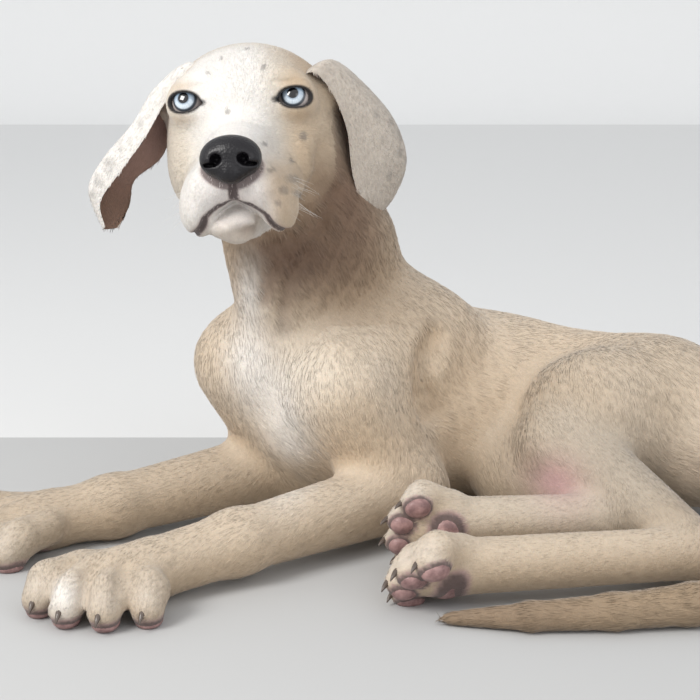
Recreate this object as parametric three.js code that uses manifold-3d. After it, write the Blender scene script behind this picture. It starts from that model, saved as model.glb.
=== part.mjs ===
// A Great Dane puppy of about eight weeks, lying down with its head up, as a still life-size model.
// Millimetres, +Z up. +X runs from the head end to the tail end and +Y away from the viewer.
// The flesh is one smooth blend of bones and muscles. Each body part is cut out of it with a thin seam.
import * as THREE from 'three';
import { mergeVertices } from 'three/addons/utils/BufferGeometryUtils.js';
import Module from 'manifold-3d';

const wasm = await Module();
wasm.setup();
const { Manifold, Mesh } = wasm;

// Driving dimensions
const SEAM = 0.5; // gap between neighbouring parts
const SEAM_FACET = 15; // size of the facets of a seam
const TOLERANCE = 0.19; // how far a dropped point may lie from the faces that replace it
const EYE_RADIUS = 9.8;
const EYE_AT = [30.5, -5.5, 0]; // centre of the left eye in the head's frame
const LID_THICKNESS = 1.9;
const EYE_OPENING = [10.5, 9, 6.2]; // half sizes of the cut that parts the lids
const EAR_THICKNESS = 4;
const LIP_GROOVE = 1.3;
const CLAW_LENGTH = 5;
const CLAW_RADIUS = 2.2;

const V = (x, y, z) => new THREE.Vector3(x, y, z);

// Frames: a place and three unit directions. side is the animal's left, fore is ahead, up is up.
function frame(origin, fore, up) {
  const f = fore.clone().normalize();
  const side = up.clone().cross(f).normalize();
  return { origin, side, fore: f, up: f.clone().cross(side) };
}

function place(fr, x, y, z) {
  return fr.origin
    .clone()
    .addScaledVector(fr.side, x)
    .addScaledVector(fr.fore, y)
    .addScaledVector(fr.up, z);
}

// Forms. Each belongs to a node, and k is how softly it blends into the forms before it.
const forms = [];

function cone(node, a, b, ra, rb, k = 12) {
  forms.push({ kind: 'cone', node, a, b, ra, rb, k });
}

function egg(node, fr, at, radii, k = 12) {
  forms.push({ kind: 'egg', node, c: place(fr, ...at), fr, radii, k });
}

function turned(origin, headingDeg, rollDeg = 0, pitchDeg = 0) {
  // heading 0 faces -X, and 90 faces the viewer (-Y). Roll lifts the animal's left side.
  const h = THREE.MathUtils.degToRad(headingDeg);
  const p = THREE.MathUtils.degToRad(pitchDeg);
  const r = THREE.MathUtils.degToRad(rollDeg);
  const fore = V(-Math.cos(h) * Math.cos(p), -Math.sin(h) * Math.cos(p), Math.sin(p));
  const flat = frame(origin, fore, V(0, 0, 1));
  const up = flat.up.clone().multiplyScalar(Math.cos(r)).addScaledVector(flat.side, -Math.sin(r));
  return frame(origin, fore, up);
}

// Torso, from the breast to the rump. The hips are rolled, with the animal's left side up.
const CHEST = turned(V(2, -6, 66), 48, 0, 8);
const RIBS = turned(V(40, 16, 61), 30, 5, 2);
const WAIST = turned(V(84, 26, 57), 8, 15);
const LOIN = turned(V(126, 20, 56), -6, 40);
const HIPS = turned(V(176, 2, 56), -22, 60);
const RUMP = turned(V(216, -34, 52), -46, 65);

egg('torso', CHEST, [0, 0, 0], [58, 66, 62], 20);
egg('torso', CHEST, [0, 44, 8], [34, 30, 34], 24);
egg('torso', RIBS, [0, 0, 0], [64, 62, 62], 30);
egg('torso', WAIST, [0, 0, -1], [58, 58, 58], 30);
egg('torso', LOIN, [0, 0, 0], [48, 56, 50], 30);
egg('torso', HIPS, [0, 0, 0], [52, 50, 46], 30);
egg('torso', RUMP, [0, 0, 0], [44, 44, 42], 24);

// Neck
const NAPE = V(-50, -26, 222);
cone('neck', V(8, -2, 110), V(-24, -18, 166), 50, 39, 30);
cone('neck', V(-24, -18, 166), NAPE, 39, 34, 20);
cone('neck', V(-40, -46, 116), V(-58, -54, 204), 24, 21, 24);
cone('neck', V(-8, -14, 172), V(-34, -16, 234), 34, 33, 16);

// Head. The origin of its frame is midway between the eyes.
const HEAD = turned(V(-63, -64, 262), 87, 3, 12);
egg('head', HEAD, [1, -44, -3], [49, 52, 41], 18);
egg('head', HEAD, [0, -14, 1], [37, 25, 23], 14);
for (const s of [-1, 1]) {
  egg('head', HEAD, [s * 29, -34, -34], [19, 31, 29], 16);
  egg('head', HEAD, [s * 21, -5, 9], [15, 12, 9], 8);
  egg('head', HEAD, [s * 30, -9, 0], [13, 13, 12], 8);
}
cone('head', place(HEAD, 0, -6, -29), place(HEAD, 0, 49, -38), 23, 15.5, 12);
for (const s of [-1, 1]) {
  cone('head', place(HEAD, s * 17, 4, -50), place(HEAD, s * 13.5, 49, -52), 18, 13.5, 10);
  egg('head', HEAD, [s * 22, 30, -63], [12, 25, 16], 8);
}
cone('head', place(HEAD, 0, -30, -56), place(HEAD, 0, 38, -73), 21, 11, 4);
egg('head', HEAD, [0, 36, -74], [18, 17, 8.5], 4);
egg('nose', HEAD, [0, 62, -35], [16.5, 11, 11], 5);
egg('nose', HEAD, [0, 65, -45], [9, 8, 7], 5);
for (const s of [-1, 1]) egg('nose', HEAD, [s * 9, 64, -39], [8, 8, 8], 4);

// A foot's four toes, with a claw on each. Each toe is given by its side step, its reach and its lift.
const claws = [];

function toes(node, centre, headingDeg, rollDeg, pitchDeg, r, list) {
  const fr = turned(centre, headingDeg, rollDeg, pitchDeg);
  for (const [side, reach, lift] of list) {
    const root = place(fr, side * 0.55, -14, 3);
    const bend = place(fr, side * 0.92, reach - r * 1.9, 5 + lift);
    const tip = place(fr, side, reach - r, -2 + lift);
    cone(node, root, bend, r + 1, r + 1.2, 6);
    cone(node, bend, tip, r + 1.2, r - 0.6, 4);
    egg(node, fr, [side, reach - r - 3, lift - r * 0.75], [r * 0.8, r, r * 0.55], 3);
    const from = place(fr, side, reach - 3, lift - 2);
    claws.push({ node, from, to: place(fr, side, reach - 3 + CLAW_LENGTH, lift - 6.5) });
  }
  egg(node, fr, [0, -10, -9], [15, 12, 7], 6);
}

// Forelegs: shoulder blade, shoulder, elbow, wrist and the middle of the foot
function foreleg(side, blade, shoulder, elbow, wrist, foot, heading) {
  const arm = 'upper_arm_' + side;
  const leg = 'foreleg_' + side;
  const paw = 'fore_paw_' + side;
  cone(arm, blade, shoulder, 24, 25, 26);
  cone(arm, shoulder, elbow, 27, 23, 22);
  cone(leg, elbow, wrist, 23, 18, 14);
  cone(leg, wrist, foot, 18.5, 17, 10);
  cone(paw, foot.clone().lerp(wrist, 0.35), foot, 17, 16.5, 6);
  toes(paw, foot, heading, 0, 0, 10.6, [[31, 26, -3], [11, 38, -2], [-11, 38, -2], [-31, 26, -3]]);
}

foreleg('left', V(50, -8, 108), V(-4, -70, 92), V(34, -66, 27), V(-64, -145, 23), V(-134, -191, 15), 76);
foreleg('right', V(6, 36, 112), V(-64, -28, 98), V(-38, -5, 27), V(-142, -72, 20), V(-196, -94, 15), 24);

// Hind legs: hip, middle and half sizes of the thigh, knee, hock and the middle of the foot
function hindleg(side, hip, thigh, knee, hock, foot, r, turn) {
  cone('thigh_' + side, hip, knee, 40, 26, 24);
  egg('thigh_' + side, thigh.fr, [0, 0, 0], thigh.radii, 20);
  cone('shank_' + side, knee, hock, 25, 15, 12);
  cone('hind_paw_' + side, hock, foot, 15.5, 16.5, 8);
  toes('hind_paw_' + side, foot, ...turn, r, [[20, 20, -2], [7.5, 27, 0], [-7.5, 27, 0], [-20, 20, -2]]);
}

hindleg(
  'left',
  V(190, -30, 72),
  { fr: turned(V(152, -42, 68), -10, 60), radii: [44, 44, 34] },
  V(128, -66, 56),
  V(196, -156, 21),
  V(44, -184, 22),
  9.6,
  [24, 42, 0],
);
hindleg(
  'right',
  V(190, 0, 40),
  { fr: turned(V(144, -10, 36), -10, 60), radii: [36, 46, 34] },
  V(104, -40, 30),
  V(150, -112, 26),
  V(44, -136, 30),
  8.6,
  [10, 70, 0],
);

// Tail, which curls round on the floor past the hind feet
const TAIL = [
  [V(246, -74, 50), 17],
  [V(262, -110, 34), 15.5],
  [V(252, -156, 20), 14.5],
  [V(222, -196, 14), 13.5],
  [V(182, -212, 12), 12],
  [V(140, -218, 10.2), 10.5],
  [V(96, -220, 8.2), 8.6],
  [V(52, -212, 4.2), 4.5],
];
for (let i = 0; i + 1 < TAIL.length; i += 1) {
  cone('tail', TAIL[i][0], TAIL[i + 1][0], TAIL[i][1], TAIL[i + 1][1], i === 0 ? 16 : 4);
}

// Ears, from root to tip. Each ring has its front rim, its fold and its back rim.
const EARS = {
  left: [
    [V(-34, -46, 268), V(-28, -32, 273), V(-32, -8, 262)],
    [V(-22, -48, 276), V(-12, -32, 281), V(-18, -4, 270)],
    [V(-11, -46, 265), V(7, -28, 267), V(-3, -2, 259)],
    [V(-2, -44, 243), V(25, -24, 245), V(11, 2, 237)],
    [V(1, -42, 219), V(32, -24, 221), V(18, 0, 214)],
    [V(6, -38, 196), V(25, -22, 198), V(17, -6, 193)],
    [V(8, -30, 183), V(12, -27, 183), V(10, -22, 182)],
  ],
  right: [
    [V(-84, -44, 264), V(-78, -32, 270), V(-84, -10, 258)],
    [V(-98, -44, 270), V(-94, -32, 279), V(-98, -10, 266)],
    [V(-109, -48, 256), V(-114, -36, 263), V(-108, -16, 234)],
    [V(-119, -50, 239), V(-127, -38, 243), V(-114, -20, 221)],
    [V(-133, -50, 220), V(-144, -40, 224), V(-129, -24, 209)],
    [V(-147, -46, 200), V(-152, -40, 206), V(-132, -28, 195)],
    [V(-145, -42, 184), V(-146, -38, 182), V(-138, -34, 182)],
  ],
};

// Distances
function coneDistance(f, p) {
  const ba = f.ba;
  const l2 = f.l2;
  const rr = f.ra - f.rb;
  const a2 = l2 - rr * rr;
  const il2 = 1 / l2;
  const px = p.x - f.a.x;
  const py = p.y - f.a.y;
  const pz = p.z - f.a.z;
  const y = px * ba.x + py * ba.y + pz * ba.z;
  const z = y - l2;
  const qx = px * l2 - ba.x * y;
  const qy = py * l2 - ba.y * y;
  const qz = pz * l2 - ba.z * y;
  const x2 = qx * qx + qy * qy + qz * qz;
  const y2 = y * y * l2;
  const z2 = z * z * l2;
  const k = Math.sign(rr) * rr * rr * x2;
  if (Math.sign(z) * a2 * z2 > k) return Math.sqrt(x2 + z2) * il2 - f.rb;
  if (Math.sign(y) * a2 * y2 < k) return Math.sqrt(x2 + y2) * il2 - f.ra;
  return (Math.sqrt(x2 * a2 * il2) + y * rr) * il2 - f.ra;
}

function eggDistance(f, p) {
  const d = V(p.x - f.c.x, p.y - f.c.y, p.z - f.c.z);
  const x = d.dot(f.fr.side) / f.radii[0];
  const y = d.dot(f.fr.fore) / f.radii[1];
  const z = d.dot(f.fr.up) / f.radii[2];
  const k0 = Math.sqrt(x * x + y * y + z * z);
  const k1 = Math.sqrt((x / f.radii[0]) ** 2 + (y / f.radii[1]) ** 2 + (z / f.radii[2]) ** 2);
  return k1 < 1e-9 ? -Math.min(...f.radii) : (k0 * (k0 - 1)) / k1;
}

for (const f of forms) {
  if (f.kind === 'cone') {
    f.ba = f.b.clone().sub(f.a);
    f.l2 = f.ba.lengthSq();
  }
}

const distance = (f, p) => (f.kind === 'cone' ? coneDistance(f, p) : eggDistance(f, p));

function blend(a, b, k) {
  const h = Math.max(k - Math.abs(a - b), 0) / k;
  return Math.min(a, b) - (h * h * k) / 4;
}

function flesh(p) {
  let d = 1e3;
  for (const f of forms) d = blend(d, distance(f, p), f.k);
  return d;
}

function nodeDistance(nodes, p) {
  let d = 1e3;
  for (const f of forms) if (nodes.includes(f.node)) d = blend(d, distance(f, p), 16);
  return d;
}

// Meshing: one vertex for each grid cell that the surface crosses, moved onto the surface
function gradient(field, p, e = 0.5) {
  const q = p.clone();
  const g = V(0, 0, 0);
  for (const axis of ['x', 'y', 'z']) {
    q[axis] = p[axis] + e;
    const high = field(q);
    q[axis] = p[axis] - e;
    g[axis] = (high - field(q)) / (2 * e);
    q[axis] = p[axis];
  }
  return g;
}

// A grid square whose corners alternate in and out would give an edge with four faces.
// One of its outer corners is taken in, until none is left.
function settle(value, size, step) {
  const stride = [1, size[0], size[0] * size[1]];
  let changed = true;
  while (changed) {
    changed = false;
    for (let k = 0; k + 1 < size[2]; k += 1) {
      for (let j = 0; j + 1 < size[1]; j += 1) {
        for (let i = 0; i + 1 < size[0]; i += 1) {
          const a = i + stride[1] * j + stride[2] * k;
          for (let axis = 0; axis < 3; axis += 1) {
            const b = a + stride[(axis + 1) % 3];
            const c = a + stride[(axis + 2) % 3];
            const d = b + c - a;
            const inside = value[a] < 0;
            if (value[d] < 0 !== inside || value[b] < 0 === inside || value[c] < 0 === inside) continue;
            const [low, high] = inside ? [b, c] : [a, d];
            value[value[low] < value[high] ? low : high] = -0.05 * step;
            changed = true;
          }
        }
      }
    }
  }
}

function surface(field, box, step) {
  const n = box.getSize(V(0, 0, 0)).divideScalar(step).ceil().addScalar(1);
  const [nx, ny, nz] = [n.x, n.y, n.z];
  const at = (i, j, k) => i + nx * (j + ny * k);
  const value = new Float32Array(nx * ny * nz);
  const p = V(0, 0, 0);
  for (let k = 0; k < nz; k += 1) {
    for (let j = 0; j < ny; j += 1) {
      for (let i = 0; i < nx; i += 1) {
        const edge = i === 0 || j === 0 || k === 0 || i === nx - 1 || j === ny - 1 || k === nz - 1;
        p.set(box.min.x + i * step, box.min.y + j * step, box.min.z + k * step);
        value[at(i, j, k)] = edge ? Math.max(field(p), 0.5 * step) : field(p);
      }
    }
  }
  settle(value, [nx, ny, nz], step);
  const cell = new Int32Array(nx * ny * nz).fill(-1);
  const points = [];
  const onEdge = [];
  for (let k = 0; k + 1 < nz; k += 1) {
    for (let j = 0; j + 1 < ny; j += 1) {
      for (let i = 0; i + 1 < nx; i += 1) {
        const c = V(0, 0, 0);
        let hits = 0;
        for (let axis = 0; axis < 3; axis += 1) {
          for (let m = 0; m < 4; m += 1) {
            const o = [0, 0, 0];
            o[(axis + 1) % 3] = m & 1;
            o[(axis + 2) % 3] = m >> 1;
            const a = value[at(i + o[0], j + o[1], k + o[2])];
            const q = o.slice();
            q[axis] = 1;
            const b = value[at(i + q[0], j + q[1], k + q[2])];
            if (a < 0 === b < 0) continue;
            o[axis] = a / (a - b);
            c.add(V(o[0], o[1], o[2]));
            hits += 1;
          }
        }
        if (!hits) continue;
        c.divideScalar(hits);
        cell[at(i, j, k)] = points.length;
        points.push(V(i, j, k).add(c).multiplyScalar(step).add(box.min));
        const border = [i, j, k].some((x) => x === 0) || i === nx - 2 || j === ny - 2 || k === nz - 2;
        onEdge.push(border);
      }
    }
  }
  const faces = [];
  for (let k = 0; k + 1 < nz; k += 1) {
    for (let j = 0; j + 1 < ny; j += 1) {
      for (let i = 0; i + 1 < nx; i += 1) {
        const here = value[at(i, j, k)] < 0;
        const neighbours = [at(i + 1, j, k), at(i, j + 1, k), at(i, j, k + 1)];
        const around = [
          [[0, -1, -1], [0, 0, -1], [0, 0, 0], [0, -1, 0]],
          [[-1, 0, -1], [-1, 0, 0], [0, 0, 0], [0, 0, -1]],
          [[-1, -1, 0], [0, -1, 0], [0, 0, 0], [-1, 0, 0]],
        ];
        for (let axis = 0; axis < 3; axis += 1) {
          if (value[neighbours[axis]] < 0 === here) continue;
          const q = around[axis].map(([a, b, c]) => cell[at(i + a, j + b, k + c)]);
          if (!here) q.reverse();
          faces.push([q[0], q[1], q[2]], [q[0], q[2], q[3]]);
        }
      }
    }
  }
  return { points, faces, onEdge };
}

// The flesh inside a box, grown by an offset, with its points moved onto the surface
function skinned(box, step, offset = 0) {
  const field = (p) => flesh(p) - offset;
  const { points, faces, onEdge } = surface(field, box, step);
  const limit = 0.7 * step;
  points.forEach((point, index) => {
    if (onEdge[index]) return;
    const from = point.clone();
    for (let turn = 0; turn < 4; turn += 1) {
      const g = gradient(field, point);
      point.addScaledVector(g, -field(point) / Math.max(g.lengthSq(), 0.04));
      const moved = point.clone().sub(from);
      if (moved.length() > limit) point.copy(from).addScaledVector(moved.normalize(), limit);
    }
  });
  return solidOf(points, faces);
}

// The space nearer to one node than to others, once shrunk and once grown by half a seam
function cell(field, box, step) {
  const { points, faces } = surface(field, box, step);
  const normals = points.map(() => V(0, 0, 0));
  for (const face of faces) {
    const [a, b, c] = face.map((v) => points[v]);
    const normal = b.clone().sub(a).cross(c.clone().sub(a));
    for (const v of face) normals[v].add(normal);
  }
  return [-SEAM / 2, SEAM / 2].map((offset) =>
    solidOf(points.map((q, i) => q.clone().addScaledVector(normals[i].clone().normalize(), offset)), faces),
  );
}

function solidOf(points, faces) {
  const vertProperties = new Float32Array(points.length * 3);
  points.forEach((q, i) => vertProperties.set([q.x, q.y, q.z], 3 * i));
  return new Manifold(new Mesh({ numProp: 3, vertProperties, triVerts: new Uint32Array(faces.flat()) }));
}

function solidOfGeometry(geometry) {
  const bare = geometry.index ? geometry.toNonIndexed() : geometry.clone();
  for (const name of Object.keys(bare.attributes)) if (name !== 'position') bare.deleteAttribute(name);
  const merged = mergeVertices(bare, 1e-4);
  return new Manifold(
    new Mesh({
      numProp: 3,
      vertProperties: new Float32Array(merged.attributes.position.array),
      triVerts: new Uint32Array(merged.index.array),
    }),
  );
}

function geometryOf(solid) {
  const mesh = solid.getMesh();
  const geometry = new THREE.BufferGeometry();
  geometry.setAttribute('position', new THREE.BufferAttribute(new Float32Array(mesh.vertProperties), 3));
  geometry.setIndex(new THREE.BufferAttribute(new Uint32Array(mesh.triVerts), 1));
  geometry.computeVertexNormals();
  return geometry;
}

// Drops points that lie within a tolerance of the faces round them, such as the slivers along a cut
function thin(solid, tolerance) {
  const mesh = solid.getMesh();
  const points = [];
  for (let i = 0; i < mesh.vertProperties.length; i += mesh.numProp) {
    points.push(V(...mesh.vertProperties.slice(i, i + 3)));
  }
  const faces = [];
  for (let i = 0; i < mesh.triVerts.length; i += 3) faces.push([...mesh.triVerts.slice(i, i + 3)]);
  const fans = points.map(() => new Set());
  faces.forEach((face, i) => face.forEach((v) => fans[v].add(i)));
  const drift = new Float64Array(points.length);
  const ringOf = (u) => {
    const ring = new Set([...fans[u]].flatMap((i) => faces[i]));
    ring.delete(u);
    return ring;
  };
  const normalOf = (a, b, c) => points[b].clone().sub(points[a]).cross(points[c].clone().sub(points[a]));
  const strayOf = (u, v, ring) => {
    if ([...ringOf(v)].filter((w) => ring.has(w)).length !== 2) return Infinity;
    let stray = 0;
    for (const i of fans[u]) {
      const face = faces[i];
      const old = normalOf(...face).normalize();
      stray = Math.max(stray, Math.abs(old.dot(points[v].clone().sub(points[u]))));
      if (face.includes(v)) continue;
      const next = normalOf(...face.map((w) => (w === u ? v : w)));
      const size = next.length();
      if (size < 0.02 || next.dot(old) < 0.8 * size) return Infinity;
      stray = Math.max(stray, Math.abs(next.dot(points[v].clone().sub(points[u]))) / size);
    }
    return stray + drift[u] > tolerance ? Infinity : stray;
  };
  let changed = true;
  while (changed) {
    changed = false;
    for (let u = 0; u < points.length; u += 1) {
      if (!fans[u].size) continue;
      const ring = ringOf(u);
      const reach = (v) => points[v].distanceTo(points[u]);
      const near = [...ring].sort((a, b) => reach(a) - reach(b));
      for (const v of near) {
        const stray = strayOf(u, v, ring);
        if (stray === Infinity) continue;
        drift[v] = Math.max(drift[v], drift[u] + stray);
        for (const i of fans[u]) {
          if (faces[i].includes(v)) {
            for (const w of faces[i]) if (w !== u) fans[w].delete(i);
            faces[i] = null;
          } else {
            faces[i] = faces[i].map((w) => (w === u ? v : w));
            fans[v].add(i);
          }
        }
        fans[u].clear();
        changed = true;
        break;
      }
    }
  }
  const index = new Map();
  const kept = [];
  points.forEach((q, i) => {
    if (!fans[i].size) return;
    index.set(i, kept.length);
    kept.push(q);
  });
  return solidOf(kept, faces.filter((face) => face).map((face) => face.map((v) => index.get(v))));
}

const largest = (solid) => solid.decompose().sort((a, b) => b.volume() - a.volume())[0];

// A ball or egg, a tube along a path and a closed skin over rings of points
function ball(fr, at, radii, facets = 10) {
  const geometry = new THREE.SphereGeometry(1, 2 * facets, facets);
  geometry.applyMatrix4(new THREE.Matrix4().makeScale(radii[1], radii[0], radii[2]));
  geometry.applyMatrix4(new THREE.Matrix4().makeBasis(fr.fore, fr.side, fr.up));
  const c = place(fr, ...at);
  return solidOfGeometry(geometry.translate(c.x, c.y, c.z));
}

function loft(rings) {
  const n = rings[0].length;
  const points = rings.flat();
  const faces = [];
  for (let i = 0; i + 1 < rings.length; i += 1) {
    for (let j = 0; j < n; j += 1) {
      const a = i * n + j;
      const b = i * n + ((j + 1) % n);
      faces.push([a, b, b + n], [a, b + n, a + n]);
    }
  }
  for (const [ring, base, way] of [[rings[0], 0, 1], [rings.at(-1), (rings.length - 1) * n, 0]]) {
    const middle = points.length;
    points.push(ring.reduce((sum, q) => sum.add(q), V(0, 0, 0)).divideScalar(n));
    for (let j = 0; j < n; j += 1) {
      const edge = [base + j, base + ((j + 1) % n)];
      faces.push(way ? [middle, edge[1], edge[0]] : [middle, edge[0], edge[1]]);
    }
  }
  const solid = solidOf(points, faces);
  return solid.volume() > 0 ? solid : solidOf(points, faces.map(([a, b, c]) => [a, c, b]));
}

function tube(path, radii, sides = 6, pieces = 14) {
  const curve = new THREE.CatmullRomCurve3(path);
  const frames = curve.computeFrenetFrames(pieces, false);
  const rings = frames.normals.map((normal, i) => {
    const t = i / pieces;
    const r = THREE.MathUtils.lerp(radii[0], radii[1], t);
    const c = curve.getPoint(t);
    return Array.from({ length: sides }, (_, j) => {
      const angle = (2 * Math.PI * j) / sides;
      return c
        .clone()
        .addScaledVector(normal, r * Math.cos(angle))
        .addScaledVector(frames.binormals[i], r * Math.sin(angle));
    });
  });
  return loft(rings);
}

// An ear flap: each ring runs along the outer face and back along the inner one
function earSolid(rows, inner, thickness, along = 11, across = 5) {
  const curves = [0, 1, 2].map((m) => new THREE.CatmullRomCurve3(rows.map((row) => row[m])));
  const rings = [];
  for (let i = 0; i <= along; i += 1) {
    const [f, r, b] = curves.map((curve) => curve.getPoint(i / along));
    const knot = r.clone().multiplyScalar(2).addScaledVector(f.clone().add(b), -0.5);
    const arc = new THREE.QuadraticBezierCurve3(f, knot, b);
    const outer = [];
    const back = [];
    const hub = f.clone().add(b).multiplyScalar(0.5).add(inner);
    for (let j = 0; j <= across; j += 1) {
      const q = arc.getPoint(j / across);
      const rim = Math.min(1, 2.5 * Math.min(j, across - j) / across + 0.3);
      const push = hub.clone().sub(q).normalize().multiplyScalar((thickness * rim) / 2);
      outer.push(q.clone().sub(push));
      back.unshift(q.clone().add(push));
    }
    rings.push([...outer, ...back]);
  }
  return loft(rings);
}

// The order in which parts are cut out, with the size of their facets
const CUTS = [
  ['nose', 5.4],
  ['head', 7.6],
  ['fore_paw_left', 7.4],
  ['fore_paw_right', 7.6],
  ['hind_paw_left', 8.6],
  ['hind_paw_right', 8],
  ['foreleg_left', 11],
  ['foreleg_right', 11.5],
  ['tail', 10.5],
  ['shank_left', 11],
  ['shank_right', 12],
  ['thigh_left', 16],
  ['thigh_right', 16],
  ['upper_arm_left', 14],
  ['upper_arm_right', 14],
  ['neck', 16],
  ['torso', 21],
];

function boxOf(node, margin) {
  const box = new THREE.Box3();
  for (const f of forms) {
    if (f.node !== node) continue;
    const r = f.kind === 'cone' ? Math.max(f.ra, f.rb) : Math.max(...f.radii);
    for (const q of f.kind === 'cone' ? [f.a, f.b] : [f.c]) {
      box.expandByPoint(q.clone().addScalar(r));
      box.expandByPoint(q.clone().addScalar(-r));
    }
  }
  return box.expandByScalar(margin);
}

const HALF = 600;
const aboveFloor = solidOfGeometry(new THREE.BoxGeometry(2 * HALF, 2 * HALF, HALF).translate(0, 0, HALF / 2));

const solids = {};
const cutters = [];
CUTS.forEach(([node, step], index) => {
  const later = CUTS.slice(index + 1).map(([name]) => name);
  const box = boxOf(node, 2.2 * step);
  let solid = skinned(box, step);
  for (const cutter of cutters) if (cutter.box.intersectsBox(box)) solid = solid.subtract(cutter.outer);
  if (later.length) {
    const field = (p) => nodeDistance([node], p) - nodeDistance(later, p);
    const [inner, grown] = cell(field, box, node === 'nose' ? 6 : SEAM_FACET);
    const outer = grown.add(inner);
    cutters.push({ box, outer });
    solid = solid.intersect(inner);
  }
  solids[node] = largest(solid.intersect(aboveFloor));
});

// Claws
for (const claw of claws) {
  const middle = claw.from.clone().lerp(claw.to, 0.55).add(V(0, 0, 1.6));
  const low = claw.to.clone().setZ(Math.max(claw.to.z, 1.2));
  solids[claw.node] = solids[claw.node].add(tube([claw.from, middle, low], [CLAW_RADIUS, 0.7], 6, 3));
}

// Eyes, in sockets behind parted lids
for (const [name, s] of [['left', 1], ['right', -1]]) {
  const at = [s * EYE_AT[0], EYE_AT[1], EYE_AT[2]];
  const lid = EYE_RADIUS + LID_THICKNESS;
  const opening = ball(HEAD, [at[0] + s * 1.5, at[1] + EYE_RADIUS, at[2]], EYE_OPENING);
  const socket = ball(HEAD, at, [EYE_RADIUS + SEAM, EYE_RADIUS + SEAM, EYE_RADIUS + SEAM]);
  solids.head = solids.head.add(ball(HEAD, at, [lid, lid, lid])).subtract(opening).subtract(socket);
  solids['eye_' + name] = ball(HEAD, at, [EYE_RADIUS, EYE_RADIUS, EYE_RADIUS], 9);
}

// The line of the mouth, let down onto the surface, and the nostrils
const MOUTH = place(HEAD, 0, 12, -58);
const LIP_LINE = [
  [0, 60, -62],
  [9, 57, -64],
  [17, 52, -70],
  [23, 40, -77],
  [28, 24, -76],
  [29, 8, -70],
];

function seated(p, core) {
  const way = p.clone().sub(core).normalize();
  let t = 70;
  while (t > 0 && flesh(core.clone().addScaledVector(way, t)) > 0) t -= 0.2;
  return core.clone().addScaledVector(way, t);
}

for (const s of [-1, 1]) {
  const path = LIP_LINE.map(([x, y, z]) => seated(place(HEAD, s * x, y, z), MOUTH));
  solids.head = solids.head.subtract(tube(path, [LIP_GROOVE, LIP_GROOVE]));
  solids.nose = solids.nose.subtract(ball(HEAD, [s * 7.5, 73, -38], [3.4, 6, 2.8], 6));
}

// Ears, cut clear of the head and neck
for (const [name, rows] of Object.entries(EARS)) {
  const ear = earSolid(rows, V(name === 'left' ? -20 : 20, 0, -12), EAR_THICKNESS);
  const reach = new THREE.Box3().setFromPoints(rows.flat()).expandByScalar(12);
  solids['ear_' + name] = ear.subtract(skinned(reach, 5, 1.6 * SEAM));
}

// Materials
const coat = new THREE.MeshStandardMaterial({ color: 0xd8c09c, roughness: 0.85 });

const dog = new THREE.Group();
dog.name = 'great_dane_puppy';
for (const [node, solid] of Object.entries(solids)) {
  const mesh = new THREE.Mesh(geometryOf(thin(largest(solid), TOLERANCE)), coat);
  mesh.name = node;
  dog.add(mesh);
}
const box = new THREE.Box3().setFromObject(dog);
dog.position.set(-(box.min.x + box.max.x) / 2, -(box.min.y + box.max.y) / 2, 0);

export default dog;
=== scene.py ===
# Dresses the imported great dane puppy: one skin, a short flat coat, eyes, nose, claws and whiskers.
# Shapes are worked out in millimetres in the posing frame of the part's source, then set in metres.
import math

import bpy
import numpy as np
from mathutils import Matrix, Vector


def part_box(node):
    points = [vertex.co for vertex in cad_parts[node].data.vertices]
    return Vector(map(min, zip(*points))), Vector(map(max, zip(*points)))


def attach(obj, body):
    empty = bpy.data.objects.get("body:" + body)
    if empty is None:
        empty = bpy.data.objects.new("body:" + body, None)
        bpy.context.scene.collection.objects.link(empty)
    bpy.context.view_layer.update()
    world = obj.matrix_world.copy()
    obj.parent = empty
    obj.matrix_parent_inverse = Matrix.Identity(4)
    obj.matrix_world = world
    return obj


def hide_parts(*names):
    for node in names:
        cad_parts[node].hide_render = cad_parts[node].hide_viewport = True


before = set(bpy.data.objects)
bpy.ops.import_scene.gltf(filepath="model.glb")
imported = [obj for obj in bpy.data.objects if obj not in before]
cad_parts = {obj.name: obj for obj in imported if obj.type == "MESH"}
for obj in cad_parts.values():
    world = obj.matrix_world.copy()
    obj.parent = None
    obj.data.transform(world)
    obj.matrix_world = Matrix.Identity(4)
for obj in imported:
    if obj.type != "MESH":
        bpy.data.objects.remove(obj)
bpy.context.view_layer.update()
RNG = np.random.default_rng(11)

# Driving sizes, in millimetres
COAT_DEPTH = 0.9
HEAD_STEP = 0.92
BODY_STEP = 2.3
EYE_RADIUS = 9.8
EYE_AT = (30.5, -5.5, 0.0)
LID_THICKNESS = 1.7
IRIS_RADIUS = 6.9
PUPIL_RADIUS = 3.0
EAR_THICKNESS = 3.4
TUFTS = 132000

# Colours of the coat and of bare skin, in linear light; tan and russet also serve as painted shade
FAWN = (0.62, 0.485, 0.345)
TAN = (0.52, 0.375, 0.24)
CREAM = (0.72, 0.645, 0.545)
WHITE = (0.86, 0.83, 0.79)
SPOT = (0.20, 0.185, 0.175)
RUSSET = (0.19, 0.115, 0.075)
MAUVE = (0.36, 0.235, 0.225)
PINK = (0.52, 0.33, 0.32)
LINER = (0.018, 0.015, 0.015)


# Frames of reference: side is the animal's left, fore is ahead and up is up
class Frame:
    def __init__(self, origin, fore, up):
        self.origin = np.array(origin, float)
        self.fore = np.array(fore, float) / np.linalg.norm(fore)
        side = np.cross(up, self.fore)
        self.side = side / np.linalg.norm(side)
        self.up = np.cross(self.fore, self.side)
        self.axes = np.stack([self.side, self.fore, self.up])

    def place(self, x, y, z):
        return self.origin + x * self.side + y * self.fore + z * self.up

    def local(self, points):
        return (points - self.origin) @ self.axes.T


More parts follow.
